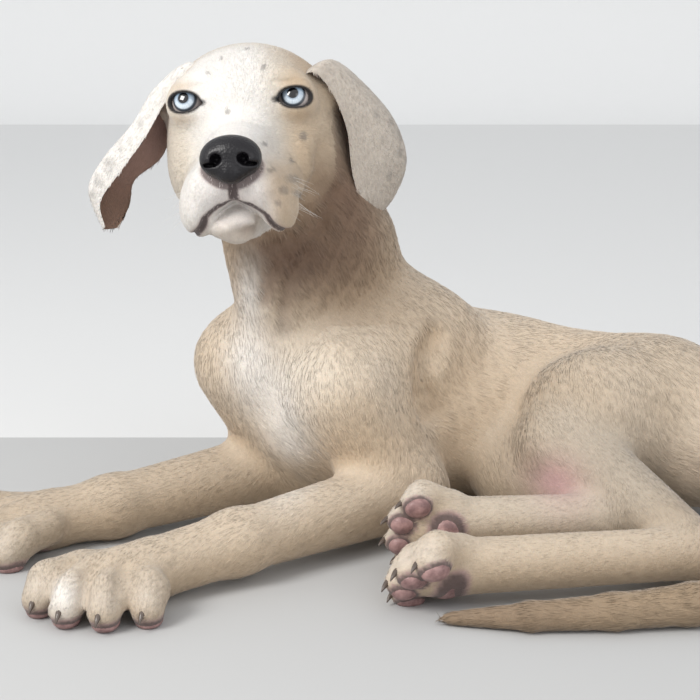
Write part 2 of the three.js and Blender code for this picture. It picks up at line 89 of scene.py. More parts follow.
def turned(origin, heading, roll=0.0, pitch=0.0):
    h, r, p = (math.radians(a) for a in (heading, roll, pitch))
    fore = (-math.cos(h) * math.cos(p), -math.sin(h) * math.cos(p), math.sin(p))
    flat = Frame(origin, fore, (0, 0, 1))
    return Frame(origin, fore, math.cos(r) * flat.up - math.sin(r) * flat.side)


def V(x, y, z):
    return np.array([x, y, z], float)


# The forms of the flesh, as in the part's source
FORMS = []


def cone(node, a, b, ra, rb, k=12):
    FORMS.append(dict(kind="cone", node=node, a=a, b=b, ra=ra, rb=rb, k=k, cut=False))


def egg(node, fr, at, radii, k=12):
    radii = np.array(radii, float)
    FORMS.append(dict(kind="egg", node=node, c=fr.place(*at), fr=fr, radii=radii, k=k, cut=False))


def groove(a, b, r, k=2.0):
    FORMS.append(dict(kind="cone", node=None, a=a, b=b, ra=r, rb=r, k=k, cut=True))


def dent(fr, at, radii, k=2.0):
    radii = np.array(radii, float)
    FORMS.append(dict(kind="egg", node=None, c=fr.place(*at), fr=fr, radii=radii, k=k, cut=True))


egg("torso", turned(V(2, -6, 66), 48, 0, 8), [0, 0, 0], [58, 66, 62], 20)
egg("torso", turned(V(2, -6, 66), 48, 0, 8), [0, 44, 8], [34, 30, 34], 24)
egg("torso", turned(V(40, 16, 61), 30, 5, 2), [0, 0, 0], [64, 62, 62], 30)
egg("torso", turned(V(84, 26, 57), 8, 15), [0, 0, -1], [58, 58, 58], 30)
egg("torso", turned(V(126, 20, 56), -6, 40), [0, 0, 0], [48, 56, 50], 30)
egg("torso", turned(V(176, 2, 56), -22, 60), [0, 0, 0], [52, 50, 46], 30)
egg("torso", turned(V(216, -34, 52), -46, 65), [0, 0, 0], [44, 44, 42], 24)

cone("neck", V(8, -2, 110), V(-24, -18, 166), 50, 39, 30)
cone("neck", V(-24, -18, 166), V(-50, -26, 222), 39, 34, 20)
cone("neck", V(-40, -46, 116), V(-58, -54, 204), 24, 21, 24)
cone("neck", V(-8, -14, 172), V(-34, -16, 234), 34, 33, 16)

HEAD = turned(V(-63, -64, 262), 87, 3, 12)
egg("head", HEAD, [1, -44, -3], [49, 52, 41], 18)
egg("head", HEAD, [0, -14, 1], [37, 25, 23], 14)
for s in (-1, 1):
    egg("head", HEAD, [s * 29, -34, -34], [19, 31, 29], 16)
    egg("head", HEAD, [s * 21, -5, 9], [15, 12, 9], 8)
    egg("head", HEAD, [s * 30, -9, 0], [13, 13, 12], 8)
cone("head", HEAD.place(0, -6, -29), HEAD.place(0, 49, -38), 23, 15.5, 12)
for s in (-1, 1):
    cone("head", HEAD.place(s * 17, 4, -50), HEAD.place(s * 13.5, 49, -52), 18, 13.5, 10)
    egg("head", HEAD, [s * 22, 30, -63], [12, 25, 16], 8)
cone("head", HEAD.place(0, -30, -56), HEAD.place(0, 38, -73), 21, 11, 4)
egg("head", HEAD, [0, 36, -74], [18, 17, 8.5], 4)

CLAWS = []
TOES = []
PADS = []
PAWS = []


def toes(node, centre, turn, r, rows):
    fr = turned(centre, *turn)
    for side, reach, lift in rows:
        root = fr.place(side * 0.55, -14, 3)
        bend = fr.place(side * 0.92, reach - r * 1.9, 5 + lift)
        tip = fr.place(side, reach - r, -2 + lift)
        cone(node, root, bend, r + 1, r + 1.2, 6)
        cone(node, bend, tip, r + 1.2, r - 0.6, 4)
        egg(node, fr, [side, reach - r - 3, lift - r * 0.75], [r * 0.8, r, r * 0.55], 3)
        CLAWS.append((fr.place(side, reach - 3, lift - 2), fr.place(side, reach + 2, lift - 6.5)))
        PADS.append((fr, (side, reach - r - 2.4, lift - r * 0.8), (r * 0.72, r * 0.86, r * 0.52)))
        TOES.append((node, side, tip))
    egg(node, fr, [0, -10, -9], [15, 12, 7], 6)
    PADS.append((fr, (0, -8, -10.5), (13.0, 10.5, 7.2)))
    PAWS.append((fr, rows[0][0] / 31.0))


def foreleg(side, blade, shoulder, elbow, wrist, foot, heading):
    arm, leg, paw = "upper_arm_" + side, "foreleg_" + side, "fore_paw_" + side
    cone(arm, blade, shoulder, 24, 25, 26)
    cone(arm, shoulder, elbow, 27, 23, 22)
    cone(leg, elbow, wrist, 23, 18, 14)
    cone(leg, wrist, foot, 18.5, 17, 10)
    cone(paw, foot + 0.35 * (wrist - foot), foot, 17, 16.5, 6)
    rows = [(31, 26, -3), (11, 38, -2), (-11, 38, -2), (-31, 26, -3)]
    toes(paw, foot, (heading, 0, 0), 10.6, rows)


foreleg("left", V(50, -8, 108), V(-4, -70, 92), V(34, -66, 27), V(-64, -145, 23), V(-134, -191, 15), 76)
foreleg("right", V(6, 36, 112), V(-64, -28, 98), V(-38, -5, 27), V(-142, -72, 20), V(-196, -94, 15), 24)


def hindleg(side, hip, thigh, radii, knee, hock, foot, r, turn):
    cone("thigh_" + side, hip, knee, 40, 26, 24)
    egg("thigh_" + side, thigh, [0, 0, 0], radii, 20)
    cone("shank_" + side, knee, hock, 25, 15, 12)
    cone("hind_paw_" + side, hock, foot, 15.5, 16.5, 8)
    rows = [(20, 20, -2), (7.5, 27, 0), (-7.5, 27, 0), (-20, 20, -2)]
    toes("hind_paw_" + side, foot, turn, r, rows)


LEFT_THIGH = turned(V(152, -42, 68), -10, 60)
RIGHT_THIGH = turned(V(144, -10, 36), -10, 60)
hindleg(
    "left", V(190, -30, 72), LEFT_THIGH, [44, 44, 34],
    V(128, -66, 56), V(196, -156, 21), V(44, -184, 22), 9.6, (24, 42, 0),
)
hindleg(
    "right", V(190, 0, 40), RIGHT_THIGH, [36, 46, 34],
    V(104, -40, 30), V(150, -112, 26), V(44, -136, 30), 8.6, (10, 70, 0),
)

TAIL = [
    (V(246, -74, 50), 17),
    (V(262, -110, 34), 15.5),
    (V(252, -156, 20), 14.5),
    (V(222, -196, 14), 13.5),
    (V(182, -212, 12), 12),
    (V(140, -218, 10.2), 10.5),
    (V(96, -220, 8.2), 8.6),
    (V(52, -212, 4.2), 4.5),
]
for i, ((a, ra), (b, rb)) in enumerate(zip(TAIL, TAIL[1:])):
    cone("tail", a, b, ra, rb, 16 if i == 0 else 4)

EARS = {
    "left": [
        [(-34, -46, 268), (-28, -32, 273), (-32, -8, 262)],
        [(-22, -48, 276), (-12, -32, 281), (-18, -4, 270)],
        [(-11, -46, 265), (7, -28, 267), (-3, -2, 259)],
        [(-2, -44, 243), (25, -24, 245), (11, 2, 237)],
        [(1, -42, 219), (32, -24, 221), (18, 0, 214)],
        [(6, -38, 196), (25, -22, 198), (17, -6, 193)],
        [(8, -30, 183), (12, -27, 183), (10, -22, 182)],
    ],
    "right": [
        [(-84, -44, 264), (-78, -32, 270), (-84, -10, 258)],
        [(-98, -44, 270), (-94, -32, 279), (-98, -10, 266)],
        [(-109, -48, 256), (-114, -36, 263), (-108, -16, 234)],
        [(-119, -50, 239), (-127, -38, 243), (-114, -20, 221)],
        [(-133, -50, 220), (-144, -40, 224), (-129, -24, 209)],
        [(-147, -46, 200), (-152, -40, 206), (-132, -28, 195)],
        [(-145, -42, 184), (-146, -38, 182), (-138, -34, 182)],
    ],
}

# The row frame's origin, from the left eye, whose place is known in both frames
low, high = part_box("eye_left")
ORIGIN = HEAD.place(*EYE_AT) - 500.0 * (np.array(low) + np.array(high))


def metres(points):
    return (np.asarray(points, float) - ORIGIN) / 1000.0


# Distances to the forms
def form_distance(f, points):
    if f["kind"] == "cone":
        axis = f["b"] - f["a"]
        length = np.linalg.norm(axis)
        pa = points - f["a"].astype(points.dtype)
        h = pa @ (axis / length).astype(points.dtype)
        r = np.sqrt(np.maximum(np.einsum("ij,ij->i", pa, pa) - h * h, 0))
        lean = (f["ra"] - f["rb"]) / length
        rise = math.sqrt(max(1 - lean * lean, 1e-6))
        k = rise * h - lean * r
        side = rise * r + lean * h - f["ra"]
        foot = np.hypot(r, h) - f["ra"]
        tip = np.hypot(r, h - length) - f["rb"]
        return np.where(k < 0, foot, np.where(k > rise * length, tip, side))
    q = (points - f["c"].astype(points.dtype)) @ (f["fr"].axes.T / f["radii"]).astype(points.dtype)
    k0 = np.sqrt(np.einsum("ij,ij->i", q, q))
    q = q / f["radii"].astype(points.dtype)
    k1 = np.maximum(np.sqrt(np.einsum("ij,ij->i", q, q)), 1e-6)
    return k0 * (k0 - 1) / k1


def soft_min(a, b, k):
    h = np.maximum(k - np.abs(a - b), 0) / k
    return np.minimum(a, b) - h * h * k * 0.25


def solid_distance(forms, points, inset=0.0):
    d = np.full(len(points), 1e3, points.dtype)
    flush = inset
    for f in forms:
        if f["cut"] or f.get("bare"):
            d = d + flush
            flush = 0.0
        if f["cut"]:
            d = -soft_min(-d, form_distance(f, points), f["k"])
        else:
            d = soft_min(d, form_distance(f, points), f["k"])
    return d + flush


# The skin's own forms: lids round the eyes, the mouth's line and the creases of the face
FLESH = list(FORMS)


def bare_egg(fr, at, radii, k=1.5):
    egg("head", fr, at, radii, k)
    FORMS[-1]["bare"] = True


for s in (-1, 1):
    eye = (s * EYE_AT[0], EYE_AT[1], EYE_AT[2])
    lid = EYE_RADIUS + LID_THICKNESS
    bare_egg(HEAD, eye, [lid, lid, lid], 5.0)
    dent(HEAD, [s * 32.3, 4.5, -0.2], [9.6, 9.0, 5.4], 1.2)
    dent(HEAD, [s * 23.2, 5.5, -1.2], [2.8, 6.0, 1.5], 1.2)
    dent(HEAD, eye, [EYE_RADIUS + 0.15] * 3, 0.6)
    groove(HEAD.place(s * 20, 8, 8.5), HEAD.place(s * 38, 4, 8.5), 0.7, 2.5)


def seated(path, core):
    """Each point of a path, moved in towards a core until it meets the flesh."""
    out = []
    for point in path:
        away = np.linalg.norm(point - core)
        way = (point - core) / away
        t = np.arange(1.5 * away, 0.0, -0.2)
        inside = solid_distance(FLESH, core + t[:, None] * way) < 0
        out.append(core + t[np.argmax(inside)] * way)
    return out


def crease(path, core, radius, softness):
    path = seated(path, core)
    for a, b in zip(path, path[1:]):
        if solid_distance(FLESH, np.array([0.5 * (a + b)]))[0] > -2.5 * radius:
            groove(a, b, radius, softness)
    return path


MOUTH = HEAD.place(0, 12, -58)
LIP_LINE = [(0, 60, -62), (9, 57, -64), (17, 52, -70), (23, 40, -77), (28, 24, -76), (29, 8, -70)]
LIPS = [crease([HEAD.place(s * x, y, z) for x, y, z in LIP_LINE], MOUTH, 1.2, 2.6) for s in (-1, 1)]
PHILTRUM = crease([HEAD.place(0, 71, -50), HEAD.place(0, 64, -60)], MOUTH, 0.9, 1.8)

# Furrows between the toes, from the web back over the knuckles
for fr, scale in PAWS:
    for middle in (-21, 0, 21):
        furrow = [(middle, 33, 2), (middle * 0.88, 20, 13), (middle * 0.72, 4, 18)]
        points = [fr.place(x * scale, y * (0.3 + 0.7 * scale), z) for x, y, z in furrow]
        crease(points, fr.place(middle * 0.7 * scale, 2, -2), 1.9, 6.0)

# The root of each ear, which closes the gap under the flap
cone("head", V(-30, -36, 264), V(-9, -34, 261), 10, 5.5, 8)
cone("head", V(-90, -34, 262), V(-106, -30, 252), 10, 6, 8)

# Creases of the body: behind the shoulder, under the jaw and down the throat
CREASES = [
    ((34, 0, 76), 4.2, 12.0, [(58, -64, 134), (52, -72, 118), (48, -78, 102), (50, -80, 86), (54, -78, 72)]),
    ((-30, -20, 190), 3.6, 11.0, [(-14, -60, 232), (-14, -74, 214), (-28, -90, 199), (-50, -100, 194)]),
    ((-30, -20, 180), 2.0, 7.0, [(-2, -60, 214), (-12, -74, 194), (-34, -90, 180), (-56, -96, 176)]),
    ((-30, -20, 160), 1.6, 7.0, [(-40, -90, 178), (-52, -90, 160), (-58, -90, 140)]),
    ((-20, -10, 150), 1.6, 7.0, [(-26, -90, 182), (-38, -90, 160), (-44, -90, 138), (-44, -90, 120)]),
]
SUNK = []
for core, radius, softness, path in CREASES:
    SUNK.append(crease([V(*point) for point in path], V(*core), radius, softness))


# Meshing on a lattice that is fine over the head and coarser over the body
def axis_lines(lo, hi, fine_lo, fine_hi):
    before = np.arange(fine_lo, lo - BODY_STEP, -BODY_STEP)[::-1]
    fine = np.arange(fine_lo + HEAD_STEP, fine_hi, HEAD_STEP)
    after = np.arange(fine[-1] + BODY_STEP, hi + BODY_STEP, BODY_STEP)
    return np.concatenate([before, fine, after])


def lattice_values(forms, lines, inset):
    shape = [len(a) for a in lines]
    values = np.empty(shape, np.float32)
    size = 12
    starts = [np.arange(0, n, size) for n in shape]
    lows = [a[s] for a, s in zip(lines, starts)]
    highs = [a[np.minimum(s + size, len(a)) - 1] for a, s in zip(lines, starts)]
    mids = [0.5 * (a + b) for a, b in zip(lows, highs)]
    halves = [0.5 * (b - a) for a, b in zip(lows, highs)]
    grid = np.stack(np.meshgrid(*mids, indexing="ij"), -1).reshape(-1, 3)
    reach = np.sqrt(sum(np.square(h) for h in np.meshgrid(*halves, indexing="ij"))).reshape(-1)
    each = np.stack([form_distance(f, grid) for f in forms], 1)
    centre = solid_distance(forms, grid, inset)
    blends = np.array([f["k"] for f in forms])
    index = np.stack(np.meshgrid(*[np.arange(len(s)) for s in starts], indexing="ij"), -1).reshape(-1, 3)
    near_cut = np.array([f["cut"] or bool(f.get("bare")) for f in forms])
    for n, (i, j, k) in enumerate(index):
        box = tuple(slice(s[m], min(s[m] + size, c)) for s, m, c in zip(starts, (i, j, k), shape))
        slack = 1.5 * reach[n] + 2.0
        touched = (each[n, near_cut] < slack).any()
        if abs(centre[n]) > slack + 4.0 and not touched:
            values[box] = centre[n]
            continue
        keep = each[n] < np.where(near_cut, slack + blends, max(centre[n], 0) + 2 * slack + blends)
        parts = np.meshgrid(*[a[b] for a, b in zip(lines, box)], indexing="ij")
        points = np.stack(parts, -1).reshape(-1, 3).astype(np.float32)
        chosen = [f for f, wanted in zip(forms, keep) if wanted]
        values[box] = solid_distance(chosen, points, inset).reshape(parts[0].shape)
    return values


def net(values, lines):
    inside = values < 0
    count = np.zeros([n - 1 for n in values.shape], np.uint8)
    corners = [(i, j, k) for i in (0, 1) for j in (0, 1) for k in (0, 1)]
    for i, j, k in corners:
        count += inside[i:i + count.shape[0], j:j + count.shape[1], k:k + count.shape[2]]
    cells = np.argwhere((count > 0) & (count < 8))
    number = np.full(count.shape, -1, np.int32)
    number[tuple(cells.T)] = np.arange(len(cells))
    corner_values = {c: values[tuple((cells + c).T)].astype(np.float64) for c in corners}
    total = np.zeros((len(cells), 3))
    hits = np.zeros(len(cells))
    for a in corners:
        for axis in range(3):
            if a[axis]:
                continue
            b = tuple(1 if m == axis else a[m] for m in range(3))
            va, vb = corner_values[a], corner_values[b]
            cross = (va < 0) != (vb < 0)
            t = va / np.where(cross, va - vb, 1)
            point = np.tile(np.array(a, float), (len(cells), 1))
            point[:, axis] = t
            total += np.where(cross[:, None], point, 0)
            hits += cross
    offset = total / hits[:, None]
    base = np.stack([lines[m][cells[:, m]] for m in range(3)], 1)
    size = np.stack([lines[m][cells[:, m] + 1] for m in range(3)], 1) - base
    quads = []
    for axis in range(3):
        u, w = (axis + 1) % 3, (axis + 2) % 3
        here = [slice(None)] * 3
        there = [slice(None)] * 3
        here[axis] = slice(0, -1)
        there[axis] = slice(1, None)
        a = inside[tuple(here)]
        change = a != inside[tuple(there)]
        at = np.argwhere(change)
        at = at[(at[:, u] > 0) & (at[:, w] > 0)]
        out = a[tuple(at.T)]
        ring = []
        for du, dw in ((-1, -1), (0, -1), (0, 0), (-1, 0)):
            c = at.copy()
            c[:, u] += du
            c[:, w] += dw
            ring.append(number[tuple(c.T)])
        ring = np.stack(ring, 1)
        ring[~out] = ring[~out][:, ::-1]
        quads.append(ring)
    return base + offset * size, np.concatenate(quads)


def face_normals(points, quads):
    n = np.cross(points[quads[:, 2]] - points[quads[:, 0]], points[quads[:, 3]] - points[quads[:, 1]])
    return n


def vertex_normals(points, quads):
    n = face_normals(points, quads)
    out = np.zeros_like(points)
    for c in range(quads.shape[1]):
        for m in range(3):
            out[:, m] += np.bincount(quads[:, c], n[:, m], len(points))
    return out / np.maximum(np.linalg.norm(out, axis=1, keepdims=True), 1e-12)


def smoothed(points, quads, rounds, keep):
    for _ in range(rounds):
        total = np.zeros_like(points)
        weight = np.zeros(len(points))
        for c in range(4):
            a, b = quads[:, c], quads[:, (c + 1) % 4]
            for m in range(3):
                total[:, m] += np.bincount(a, points[b, m], len(points))
                total[:, m] += np.bincount(b, points[a, m], len(points))
            weight += np.bincount(a, minlength=len(points)) + np.bincount(b, minlength=len(points))
        points = keep[:, None] * points + (1 - keep[:, None]) * total / weight[:, None]
    return points


def smoothstep(lo, hi, x):
    t = np.clip((x - lo) / (hi - lo), 0, 1)
    return t * t * (3 - 2 * t)


# An ear flap as a closed grid: the outer face, then the inner face back again
def spline(rows, t):
    rows = np.array(rows, float)
    t = np.clip(t, 0, 0.99999) * (len(rows) - 1)
    i = t.astype(int)
    f = (t - i)[:, None]
    p = [rows[np.clip(i + d, 0, len(rows) - 1)] for d in (-1, 0, 1, 2)]
    a = 2 * p[1]
    b = p[2] - p[0]
    c = 2 * p[0] - 5 * p[1] + 4 * p[2] - p[3]
    d = 3 * p[1] - p[0] - 3 * p[2] + p[3]
    return 0.5 * (a + b * f + c * f * f + d * f ** 3)


def ear_mesh(rows, name, along=90, across=40):
    inner = np.array([-20.0 if name == "left" else 20.0, 0, -12])
    t = np.linspace(0, 1, along + 1)
    fore, fold, back = (spline([row[m] for row in rows], t) for m in range(3))
    knot = 2 * fold - 0.5 * (fore + back)
    hub = 0.5 * (fore + back) + inner
    v = np.linspace(0, 1, across + 1)[None, :, None]
    arc = (1 - v) ** 2 * fore[:, None] + 2 * v * (1 - v) * knot[:, None] + v ** 2 * back[:, None]
    push = hub[:, None] - arc
    push = push / np.linalg.norm(push, axis=2, keepdims=True)
    edge = np.minimum(v, 1 - v)
    thick = np.minimum(1.0, 4.0 * edge + 0.18)
    thick = thick * np.minimum(1.0, 5.0 * (1 - t) + 0.25)[:, None, None]
    ripple = 0.5 * np.sin(9.0 * t)[:, None, None] * smoothstep(0.1, 0.5, edge)
    half = 0.5 * (EAR_THICKNESS - 2 * 0.35) * thick
    outer = arc - push * (half - 0.3 + ripple * 0.4)
    inside = arc + push * half
    ring = np.concatenate([outer, inside[:, ::-1]], 1)
    n = ring.shape[1]
    points = ring.reshape(-1, 3)
    i, j = np.meshgrid(np.arange(along), np.arange(n), indexing="ij")
    i, j = i.ravel(), j.ravel()
    nxt = (j + 1) % n
    quads = np.stack([i * n + j, i * n + nxt, (i + 1) * n + nxt, (i + 1) * n + j], 1)
    caps = []
    for base in (0, along * n):
        for m in range(across):
            q = [base + m, base + m + 1, base + n - 2 - m, base + n - 1 - m]
            caps.append(q[::-1] if base == 0 else q)
    quads = np.concatenate([quads, np.array(caps)])
    volume = np.einsum("ij,ij->", points[quads[:, 0]], face_normals(points, quads))
    if volume < 0:
        quads = quads[:, ::-1]
    face = np.concatenate([np.zeros(across + 1), np.ones(across + 1)])
    return points, quads, np.tile(face, along + 1), np.repeat(t, n)


# Build the skin
lo = V(-222, -240, -6)
hi = V(292, 96, 304)
LINES = [
    axis_lines(lo[0], hi[0], -118.0, -10.0),
    axis_lines(lo[1], hi[1], -142.0, -20.0),
    axis_lines(lo[2], hi[2], 178.0, 300.0),
]
lattice = lattice_values(FORMS, LINES, COAT_DEPTH)
skin_points, skin_quads = net(lattice, LINES)
del lattice
in_head = smoothstep(70, 40, np.linalg.norm(HEAD.local(skin_points) * [1, 0.6, 0.7] - [0, -5, -20], axis=1))
skin_points = smoothed(skin_points, skin_quads, 2, 0.45 + 0.25 * in_head)
skin_points[:, 2] = np.maximum(skin_points[:, 2], 0.25)

NODES = [
    "torso", "neck", "head", "tail", "upper_arm_left", "upper_arm_right", "foreleg_left", "foreleg_right",
    "fore_paw_left", "fore_paw_right", "thigh_left", "thigh_right", "shank_left", "shank_right",
    "hind_paw_left", "hind_paw_right", "ear_left", "ear_right",
]
NUMBER = {name: i for i, name in enumerate(NODES)}


def node_weights(points):
    out = np.full((len(points), len(NODES)), 1e3)
    for f in FLESH:
        i = NUMBER[f["node"]]
        out[:, i] = np.minimum(out[:, i], form_distance(f, points))
    return out


def node_shares(points, region):
    """How much each point belongs to each node, fading across the seams."""
    weights = node_weights(points)
    share = np.exp(-(weights - weights.min(1, keepdims=True)) / 7.0)
    ear = region >= NUMBER["ear_left"]
    share[ear] = 0
    share[ear, region[ear]] = 1
    return share / share.sum(1, keepdims=True)


body_count = len(skin_points)
skin_region = np.argmin(node_weights(skin_points), axis=1)
skin_inner = np.zeros(body_count)
skin_along = np.zeros(body_count)
parts = [(skin_points, skin_quads)]
start = body_count
for name in ("left", "right"):
    points, quads, inner, along = ear_mesh(EARS[name], name)
    parts.append((points, quads + start))
    start += len(points)
    skin_region = np.concatenate([skin_region, np.full(len(points), NUMBER["ear_" + name])])
    skin_inner = np.concatenate([skin_inner, inner])
    skin_along = np.concatenate([skin_along, along])
skin_points = np.concatenate([p for p, _ in parts])
skin_quads = np.concatenate([q for _, q in parts])
skin_normals = vertex_normals(skin_points, skin_quads)


# Loose skin: folds on the throat, the neck's side, the ribs and the flank
def folds(points, normals):
    out = np.zeros(len(points))
    for at, along, pitch, depth, radius in (
        ((-40, -75, 190), (0.75, 0.2, 0.65), 11.0, 1.5, 34),
        ((-62, -75, 165), (0.9, -0.1, 0.25), 9.0, 1.0, 30),
        ((-8, -60, 170), (0.55, 0.5, -0.6), 15.0, 0.9, 42),
        ((62, -40, 80), (0.9, -0.2, 0.15), 12.0, 0.7, 40),
        ((120, -60, 78), (0.6, -0.3, 0.7), 12.0, 0.8, 30),
        ((-30, -85, 60), (0.7, -0.4, 0.5), 12.0, 0.9, 28),
    ):
        along = np.array(along) / np.linalg.norm(along)
        d = points - np.array(at)
        mask = np.exp(-np.einsum("ij,ij->i", d, d) / (radius * radius * 0.6))
        wave = d @ along + 2.5 * np.sin(d[:, 2] / 13.0) + 2.0 * np.sin(d[:, 0] / 17.0)
        out += depth * mask * (np.abs(np.sin(math.pi * wave / pitch)) - 0.8)
    return out


skin_points = skin_points + skin_normals * folds(skin_points, skin_normals)[:, None]
skin_points[:, 2] = np.maximum(skin_points[:, 2], 0.25)
skin_normals = vertex_normals(skin_points, skin_quads)


# Markings and painted shade, the same for skin and coat
def bump(points, at, radius):
    d = (points - np.array(at, float)) / np.array(radius, float)
    return np.exp(-np.einsum("ij,ij->i", d, d))


def line_distance(points, paths):
    out = np.full(len(points), 1e3)
    for path in paths:
        for a, b in zip(path, path[1:]):
            t = np.clip((points - a) @ (b - a) / ((b - a) @ (b - a)), 0, 1)
            out = np.minimum(out, np.linalg.norm(points - a - t[:, None] * (b - a), axis=1))
    return out


def pad_distance(points):
    """How far out from the nearest pad, where 1 is its own surface."""
    out = np.full(len(points), 1e3)
    for fr, at, radii in PADS:
        out = np.minimum(out, np.linalg.norm((fr.local(points) - at) / radii, axis=1))
    return out


def wobble(points, scale, seed):
    rng = np.random.default_rng(seed)
    out = np.zeros(len(points))
    for octave in range(3):
        for _ in range(4):
            way = rng.normal(size=3)
            way *= (2 ** octave) / (scale * np.linalg.norm(way))
            out += np.sin(points @ way * 6.28 + rng.uniform(0, 6.28)) / (2 ** octave)
    return out / 4.0


def mix(colour, other, amount):
    return colour + (np.array(other) - colour) * np.clip(amount, 0, 1)[:, None]


FACE_SPOTS = [
    (35, 12, -22, 2.6), (14, 52, -20, 1.3), (16, 50, -28, 1.6), (24, 40, -31, 2.2), (29, 30, -36, 2.0),
    (21, 48, -44, 1.8), (30, 30, -48, 3.0), (27, 38, -55, 2.6), (33, 20, -56, 2.2), (24, 44, -62, 2.0),
    (-6, 22, -8, 1.6), (15, 4, 17, 1.8), (-17, 3, 15, 1.5), (4, -22, 30, 1.6), (-10, -6, 24, 1.3),
]
EAR_SPOTS = [
    (30, -30, 226, 2.6), (24, -34, 214, 2.2), (27, -32, 205, 1.8), (33, -22, 208, 2.4), (20, -38, 236, 1.8),
    (16, -36, 250, 2.0), (30, -25, 238, 2.2), (35, -22, 222, 2.6), (24, -30, 245, 1.6), (22, -34, 196, 2.0),
    (-140, -44, 222, 4.0), (-134, -44, 231, 2.6), (-148, -44, 213, 3.0), (-122, -46, 246, 2.2),
    (-151, -42, 204, 3.2), (-128, -46, 236, 2.0),
]


# How deep the coat's colour is on each node, beside the trunk's
DEPTH = {
    "torso": 1.0, "neck": 0.80, "head": 0.90, "tail": 0.60, "upper_arm_left": 0.95, "upper_arm_right": 0.92,
    "foreleg_left": 0.86, "foreleg_right": 0.80, "fore_paw_left": 0.74, "fore_paw_right": 0.74,
    "thigh_left": 0.80, "thigh_right": 0.74, "shank_left": 0.62, "shank_right": 0.66,
    "hind_paw_left": 0.84, "hind_paw_right": 0.80, "ear_left": 0.88, "ear_right": 0.94,
}


